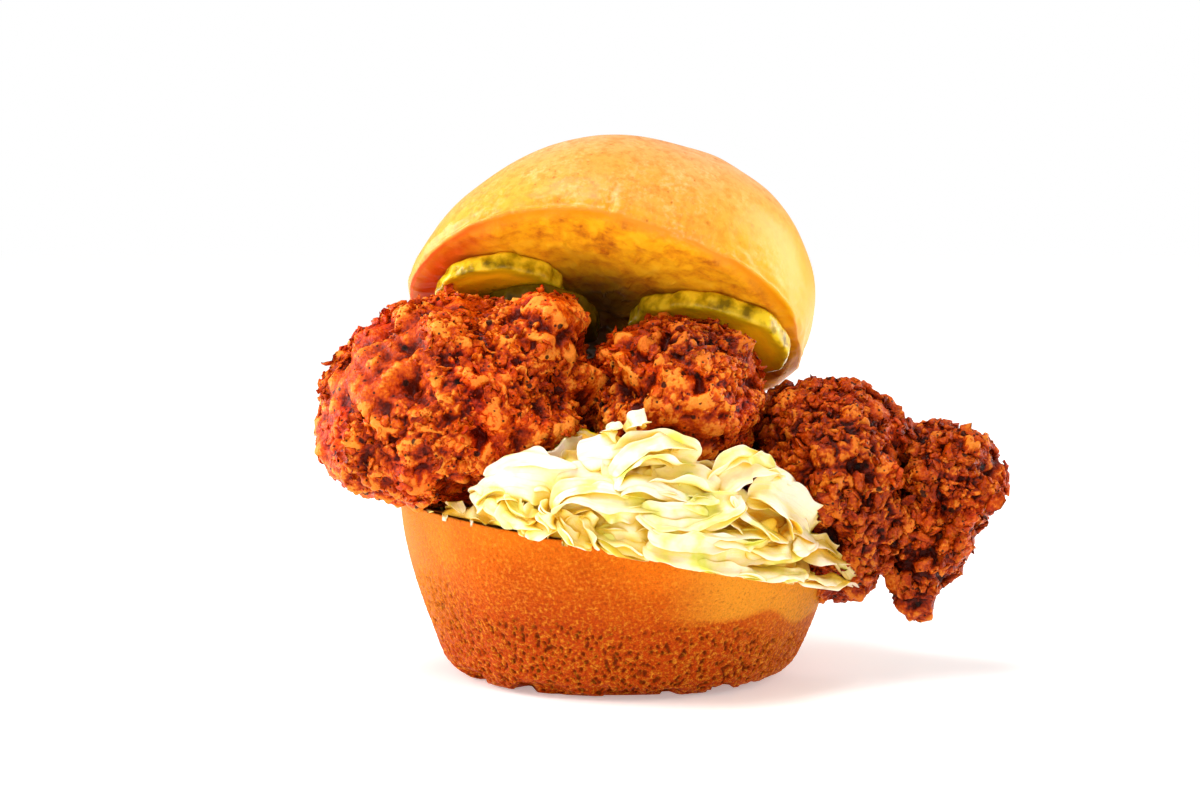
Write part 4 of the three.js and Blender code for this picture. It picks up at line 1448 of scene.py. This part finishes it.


# %% [markdown]
# ### Dry crust
# The heel is the same dough without the egg: it baked against steel, so it is
# duller and redder, freckled with tiny blisters, and pitted towards the foot. The
# pits are in the mesh, so the colour reads their depth from it and paints shade in
# them, and the blisters, which are finer than its grid, come from noise, with their
# tops painted lighter as highlights and painted shade between them.

# %% Finish: dry crust of the heel
def make_heel_crust():
    """Red-orange by height, paler where told, with painted highlights on blisters,
    painted shade between them and in pits, and a cut.
    """
    m, where, rise, cut, pale, relief = new_finish(
        "baked_crust", "rise", "cut", "pale", "relief"
    )
    patch = add(m, "TexNoise", {"Vector": where, "Scale": per_mm(20), "Detail": 3.0})
    along = add(m, "Math", {0: patch, 1: 0.6, 2: -0.3}, operation="MULTIPLY_ADD")
    along = add(m, "Math", {0: rise, 1: along})
    skin = add(m, "ValToRGB", {0: along}, stops=[
        (0.0, "#B23C00"), (0.25, "#B63E00"), (0.55, "#B03C00"), (0.8, "#BE4C00"), (1.0, "#DC6A08"),
    ])
    # Paler where told: a real band high on the right, and painted light on both ends.
    skin = add(m, "Mix", {0: pale, 6: skin, 7: "#E09426"}, **COLOURS)
    low = add(m, "MapRange", {"Value": rise, 1: 0.35, 2: 1.0, 3: 0.95, 4: 0.5})
    grit = {"Vector": where, "Scale": per_mm(0.8), "Detail": 4.0, "Roughness": 0.65}
    grit = add(m, "TexNoise", grit)
    # Painted highlight on blister tops, which also raise the bump, and painted shade between them
    # and in the sunk pits.
    blister = add(m, "MapRange", {"Value": grit, 1: 0.5, 2: 0.7, 3: 0.0, 4: low})
    between = add(m, "MapRange", {"Value": grit, 1: 0.5, 2: 0.28, 3: 0.0, 4: low})
    sunk = add(m, "MapRange", {"Value": relief, 1: 0.0, 2: -0.32, 3: 0.0, 4: 0.72})
    for place, code in ((blister, "#FFA42C"), (between, "#561600"), (sunk, "#4C1400")):
        skin = add(m, "Mix", {0: place, 6: skin, 7: code}, **COLOURS)
    mealy = add(m, "TexNoise", {"Vector": where, "Scale": per_mm(4), "Detail": 5.0})
    crumb = add(m, "ValToRGB", {0: mealy}, stops=[(0.35, "#C06C14"), (0.6, "#ECB868")])
    colour = add(m, "Mix", {0: cut, 6: skin, 7: crumb}, **COLOURS)
    fine = add(m, "TexNoise", {"Vector": where, "Scale": per_mm(0.9), "Detail": 3.0})
    height = add(m, "Math", {0: fine, 1: 0.4, 2: blister}, operation="MULTIPLY_ADD")
    return surface(
        m, colour, height, 0.4, Roughness=0.5, IOR=1.45, Specular_IOR_Level=0.05,
        Subsurface_Weight=0.06, Subsurface_Radius=[0.9, 0.3, 0.08], Subsurface_Scale=0.003,
    )


# %% [markdown]
# ### Fried batter
# Flour and egg, deep-fried: orange where it stands proud, painted red-brown to
# nearly black as shade in the crevices and where masses lie beside and under
# others, oily enough to glint, with cracked pepper all through. How proud a point
# stands, lowered by that painted shade, was worked out with its mesh, so two ramps,
# one for light crust and one for dark, turn that one number into colour.

# %% Finish: fried batter
def make_fried_batter():
    """Two ramps by how proud a point stands, dark in crevices as painted shade,
    mixed by how dark the crust is, and pepper.
    """
    m, where, peak, brown = new_finish("fried_batter", "peak", "brown")
    mottle = add(m, "TexNoise", {"Vector": where, "Scale": per_mm(3.2), "Detail": 5.0})
    speckle = add(m, "TexNoise", {"Vector": where, "Scale": per_mm(0.7), "Detail": 2.0})
    uneven = add(m, "Math", {0: speckle, 1: 0.9, 2: -0.7}, operation="MULTIPLY_ADD")
    uneven = add(m, "Math", {0: mottle, 1: 0.5, 2: uneven}, operation="MULTIPLY_ADD")
    # Low values, in crevices and beside other masses, give painted shade.
    level = add(m, "Math", {0: peak, 1: uneven})
    light = add(m, "ValToRGB", {0: level}, stops=[
        (0.0, "#560F00"), (0.2, "#821F00"), (0.4, "#A82F00"),
        (0.6, "#C34402"), (0.8, "#D85E05"), (1.0, "#EE8C2C"),
    ])
    dark = add(m, "ValToRGB", {0: level}, stops=[
        (0.0, "#2A0600"), (0.24, "#4C0F00"), (0.44, "#701A00"),
        (0.66, "#942B00"), (0.86, "#B04404"), (1.0, "#C86414"),
    ])
    patch = add(m, "TexNoise", {"Vector": where, "Scale": per_mm(13), "Detail": 2.0})
    red = add(m, "MapRange", {"Value": patch, 1: 0.5, 2: 0.64, 3: 0.0, 4: 0.5})
    light = add(m, "Mix", {0: red, 6: light, 7: "#FF7A20"}, blend_type="MULTIPLY", **COLOURS)
    colour = add(m, "Mix", {0: brown, 6: light, 7: dark}, **COLOURS)
    for pepper_size in (5.0, 2.1):
        colour = spotted(m, where, colour, pepper_size, 0.13, 0.04, 0.9, "#180A04")
    fine = add(m, "TexNoise", {"Vector": where, "Scale": per_mm(0.6), "Detail": 4.0})
    rough = add(m, "Math", {0: mottle, 1: 0.6, 2: 0.02}, operation="MULTIPLY_ADD")
    return surface(
        m, colour, fine, 0.4, Roughness=rough, IOR=1.46, Specular_IOR_Level=0.12,
        Subsurface_Weight=0.05, Subsurface_Radius=[0.9, 0.3, 0.06], Subsurface_Scale=0.002,
    )


# %% [markdown]
# ### Cabbage in dressing
# Shredded white cabbage under a thick coat of dressing: ivory and glossy, light
# glows through its thin edges, and it is painted yellow to amber where folds lie
# deep and shut in, as painted shade and glow. Its veins run along each ribbon, so
# they are noise on the ribbon's own flat place, which the mesh carries, and not
# on where the ribbon lies.

# %% Finish: cabbage in creamy dressing
def make_dressed_cabbage():
    """Ivory to amber by depth and by how shut in a point is, as painted shade and
    glow in the folds, with green and veins.
    """
    m, where, deep, tint, across, along = new_finish(
        "dressed_cabbage", "deep", "tint", "across", "along"
    )
    patch = add(m, "TexNoise", {"Vector": where, "Scale": per_mm(7), "Detail": 3.0})
    # Painted shade and glow: shut-in folds are turned yellow to amber.
    shut_in = add(m, "AmbientOcclusion", {"Distance": 7 * MM}, out="AO", samples=6)
    shut_in = add(m, "MapRange", {"Value": shut_in, 1: 0.9, 2: 0.3, 3: -0.15, 4: 0.7})
    depth = add(m, "Math", {0: patch, 1: 0.4, 2: -0.2}, operation="MULTIPLY_ADD")
    depth = add(m, "Math", {0: deep, 1: 0.45, 2: depth}, operation="MULTIPLY_ADD")
    depth = add(m, "Math", {0: depth, 1: shut_in})
    colour = add(m, "ValToRGB", {0: depth}, stops=[
        (0.05, "#FFEACC"), (0.3, "#FEE2A2"), (0.55, "#F8D854"), (0.85, "#F0BE2C"), (1.0, "#DE9814"),
    ])
    leafy = add(m, "MapRange", {"Value": patch, 1: 0.46, 2: 0.62, 3: 0.0, 4: tint})
    colour = add(m, "Mix", {0: leafy, 6: colour, 7: "#DEDC50"}, **COLOURS)
    sheet = add(m, "CombineXYZ", {0: across, 1: along, 2: tint})
    sheet = add(m, "VectorMath", {0: sheet, 1: [1.2, 0.1, 40]}, operation="MULTIPLY")
    veins = add(m, "TexNoise", {"Vector": sheet, "Scale": 1.0, "Detail": 3.0})
    vein = add(m, "MapRange", {"Value": veins, 1: 0.52, 2: 0.66, 3: 0.0, 4: 0.4})
    colour = add(m, "Mix", {0: vein, 6: colour, 7: "#F0E26C"}, **COLOURS)
    wet = add(m, "TexNoise", {"Vector": where, "Scale": per_mm(2.4), "Detail": 2.0})
    height = add(m, "Math", {0: veins, 1: 0.5, 2: wet}, operation="MULTIPLY_ADD")
    return surface(
        m, colour, height, 0.3, Roughness=0.3, IOR=1.42, Specular_IOR_Level=0.2,
        Coat_Weight=0.08, Coat_Roughness=0.1, Subsurface_Weight=0.3,
        Subsurface_Radius=[1.0, 0.85, 0.4], Subsurface_Scale=0.0015,
    )


# %% [markdown]
# ### Pickled cucumber
# Cucumber soured in brine: a knobbly olive rind with a hard wet shine round a
# face like amber jelly, paler near the rind, with flat seeds half inside it. The
# mesh says how far each point is from the slice's middle, so the face is a ramp.

# %% Finish: pickled cucumber
def make_pickle():
    """A rind, a face by distance from its middle, seeds, and an even painted shade."""
    m, where, rind, ring, shade = new_finish("pickled_cucumber", "rind", "ring", "shade")
    mottle = add(m, "TexNoise", {"Vector": where, "Scale": per_mm(3), "Detail": 4.0})
    skin = add(m, "ValToRGB", {0: mottle}, stops=[
        (0.3, "#7E6604"), (0.44, "#BC9A08"), (0.62, "#EECA24"),
    ])
    face = add(m, "ValToRGB", {0: ring}, stops=[
        (0.0, "#F8A008"), (0.6, "#FCAC08"), (0.85, "#FFBC10"), (1.0, "#D0A40A"),
    ])
    inner = add(m, "MapRange", {"Value": ring, 1: 0.75, 2: 0.35, 3: 0.0, 4: 0.5})
    face = spotted(m, where, face, 3.4, 0.12, 0.12, inner, "#9A5404")
    colour = add(m, "Mix", {0: rind, 6: face, 7: skin}, **COLOURS)
    colour = add(m, "Mix", {0: shade, 6: colour, 7: "#241C02"}, **COLOURS)
    return surface(
        m, colour, mottle, 0.4, Roughness=0.25, IOR=1.4, Specular_IOR_Level=0.25,
        Coat_Weight=0.12, Coat_Roughness=0.08, Subsurface_Weight=0.4,
        Subsurface_Radius=[0.8, 0.5, 0.1], Subsurface_Scale=0.004,
    )


# %% Dress the pieces
batter = make_fried_batter()
DRESS = {
    "crown_bread": make_crown_crust(),
    "heel_bread": make_heel_crust(),
    "chicken_": batter,
    "crumbs_": batter,
    "crust_flakes": batter,
    "slaw_": make_dressed_cabbage(),
    "pickle_": make_pickle(),
}
for piece in bpy.data.objects:
    for beginning, material in DRESS.items():
        if piece.type == "MESH" and piece.name.startswith(beginning):
            piece.data.materials.clear()
            piece.data.materials.append(material)
print("materials:", sorted({m.name for m in DRESS.values()}))

# %% [markdown]
# ## Floor, light and camera
# The burger stands on a white sweep under large soft lamps, as a menu shows
# food: light wraps round both sides, so that the bread glows at its edges, and
# the gap under the crown stays dark. Real walls could bounce the light, but four
# lamps, a white surround and a floor that glows a little are easier to balance.

# %% Floor
FLOOR_HALF = 4.0
FLOOR_DROP = 0.0002
FLOOR_GLOW_FROM, FLOOR_GLOW_TO = 0.1, 0.9
FLOOR_GLOW_LEAST, FLOOR_GLOW_MOST = 0.3, 0.67


def make_floor():
    """A white sheet, in metres, just under the burger. It glows a little all over,
    which lightens shadows and lights the burger from below, and more in its far
    part, as where a sweep curves up to the backdrop lamp."""
    mesh = bpy.data.meshes.new("floor")
    sides = ((-1, -1), (1, -1), (1, 1), (-1, 1))
    corners = [(x * FLOOR_HALF, y * FLOOR_HALF, -FLOOR_DROP) for x, y in sides]
    mesh.from_pydata(corners, [], [(0, 1, 2, 3)])
    floor = bpy.data.objects.new("floor", mesh)
    bpy.context.collection.objects.link(floor)
    m, where = new_finish("white_paper")
    away = add(m, "VectorMath", {0: where}, out="Value", operation="LENGTH")
    glow = add(m, "MapRange", {
        "Value": away, 1: FLOOR_GLOW_FROM, 2: FLOOR_GLOW_TO,
        3: FLOOR_GLOW_LEAST, 4: FLOOR_GLOW_MOST,
    })
    shader = add(m, "BsdfPrincipled", {
        "Base Color": "#F6F4F2", "Roughness": 0.7,
        "Emission Color": [1, 1, 1, 1], "Emission Strength": glow,
    })
    add(m, "OutputMaterial", {"Surface": shader})
    mesh.materials.append(m)
    floor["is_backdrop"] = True


make_floor()
print("floor:", 2 * FLOOR_HALF, "m across")

# %% Lamps and surround
BURGER_MIDDLE = Vector((0, 0, 0.06))
# Each lamp: its place and its width, in metres, and its power in watts.
LAMPS = {
    "top_front": ((-0.22, -0.28, 0.85), 0.5, 8.5),
    "low_front": ((-0.2, -0.9, 0.1), 0.6, 3),
    "edge_right": ((0.7, 0.2, 0.25), 0.5, 5),
    "edge_left": ((-0.7, 0.12, 0.22), 0.5, 7.5),
}
SURROUND_SEEN = 1.0
SURROUND_LIT = 0.36


def make_lamp(name, place, width, watts):
    """A square area lamp, turned to face the burger."""
    lamp = bpy.data.lights.new(name, "AREA")
    lamp.size = width
    lamp.energy = watts
    holder = bpy.data.objects.new(name, lamp)
    holder.location = place
    holder.rotation_euler = (BURGER_MIDDLE - Vector(place)).to_track_quat("-Z", "Y").to_euler()
    bpy.context.collection.objects.link(holder)


def make_surround():
    """A white surround, brighter to the eye than what it adds to the light."""
    world = bpy.data.worlds.new("studio")
    world.use_nodes = True
    bpy.context.scene.world = world
    world.node_tree.nodes.clear()
    seen = add(world, "LightPath", out="Is Camera Ray")
    strength = {"Value": seen, 1: 0.0, 2: 1.0, 3: SURROUND_LIT, 4: SURROUND_SEEN}
    strength = add(world, "MapRange", strength)
    white = add(world, "Background", {"Color": [1, 1, 1, 1], "Strength": strength})
    add(world, "OutputWorld", {"Surface": white})


make_surround()
for name, (place, width, watts) in LAMPS.items():
    make_lamp(name, place, width, watts)
print("lamps:", sorted(LAMPS))

# %% Camera
CAMERA_TARGET = np.array([-4.8, 0, 64.6])
CAMERA_DISTANCE = 555.6
CAMERA_RISE = math.radians(5)


def make_camera():
    """A 70 mm lens on a 36 mm frame, 5 degrees up, looking at its target."""
    lens = bpy.data.cameras.new("camera")
    lens.lens = 70
    lens.sensor_width = 36
    lens.clip_start = 0.01
    holder = bpy.data.objects.new("camera", lens)
    back = np.array([0, -math.cos(CAMERA_RISE), math.sin(CAMERA_RISE)])
    holder.location = (CAMERA_TARGET + CAMERA_DISTANCE * back) * MM
    holder.rotation_euler = (math.pi / 2 - CAMERA_RISE, 0, 0)
    bpy.context.collection.objects.link(holder)
    bpy.context.scene.camera = holder
    print("camera at", np.round(holder.location, 3))


make_camera()
bpy.context.scene.view_settings.view_transform = "Standard"

# %% The two boxes, and the end
sizes = {"cad": cad_box, "visual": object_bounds()}
sizes = {key: [list(map(float, corner)) for corner in box] for key, box in sizes.items()}
print(sizes)
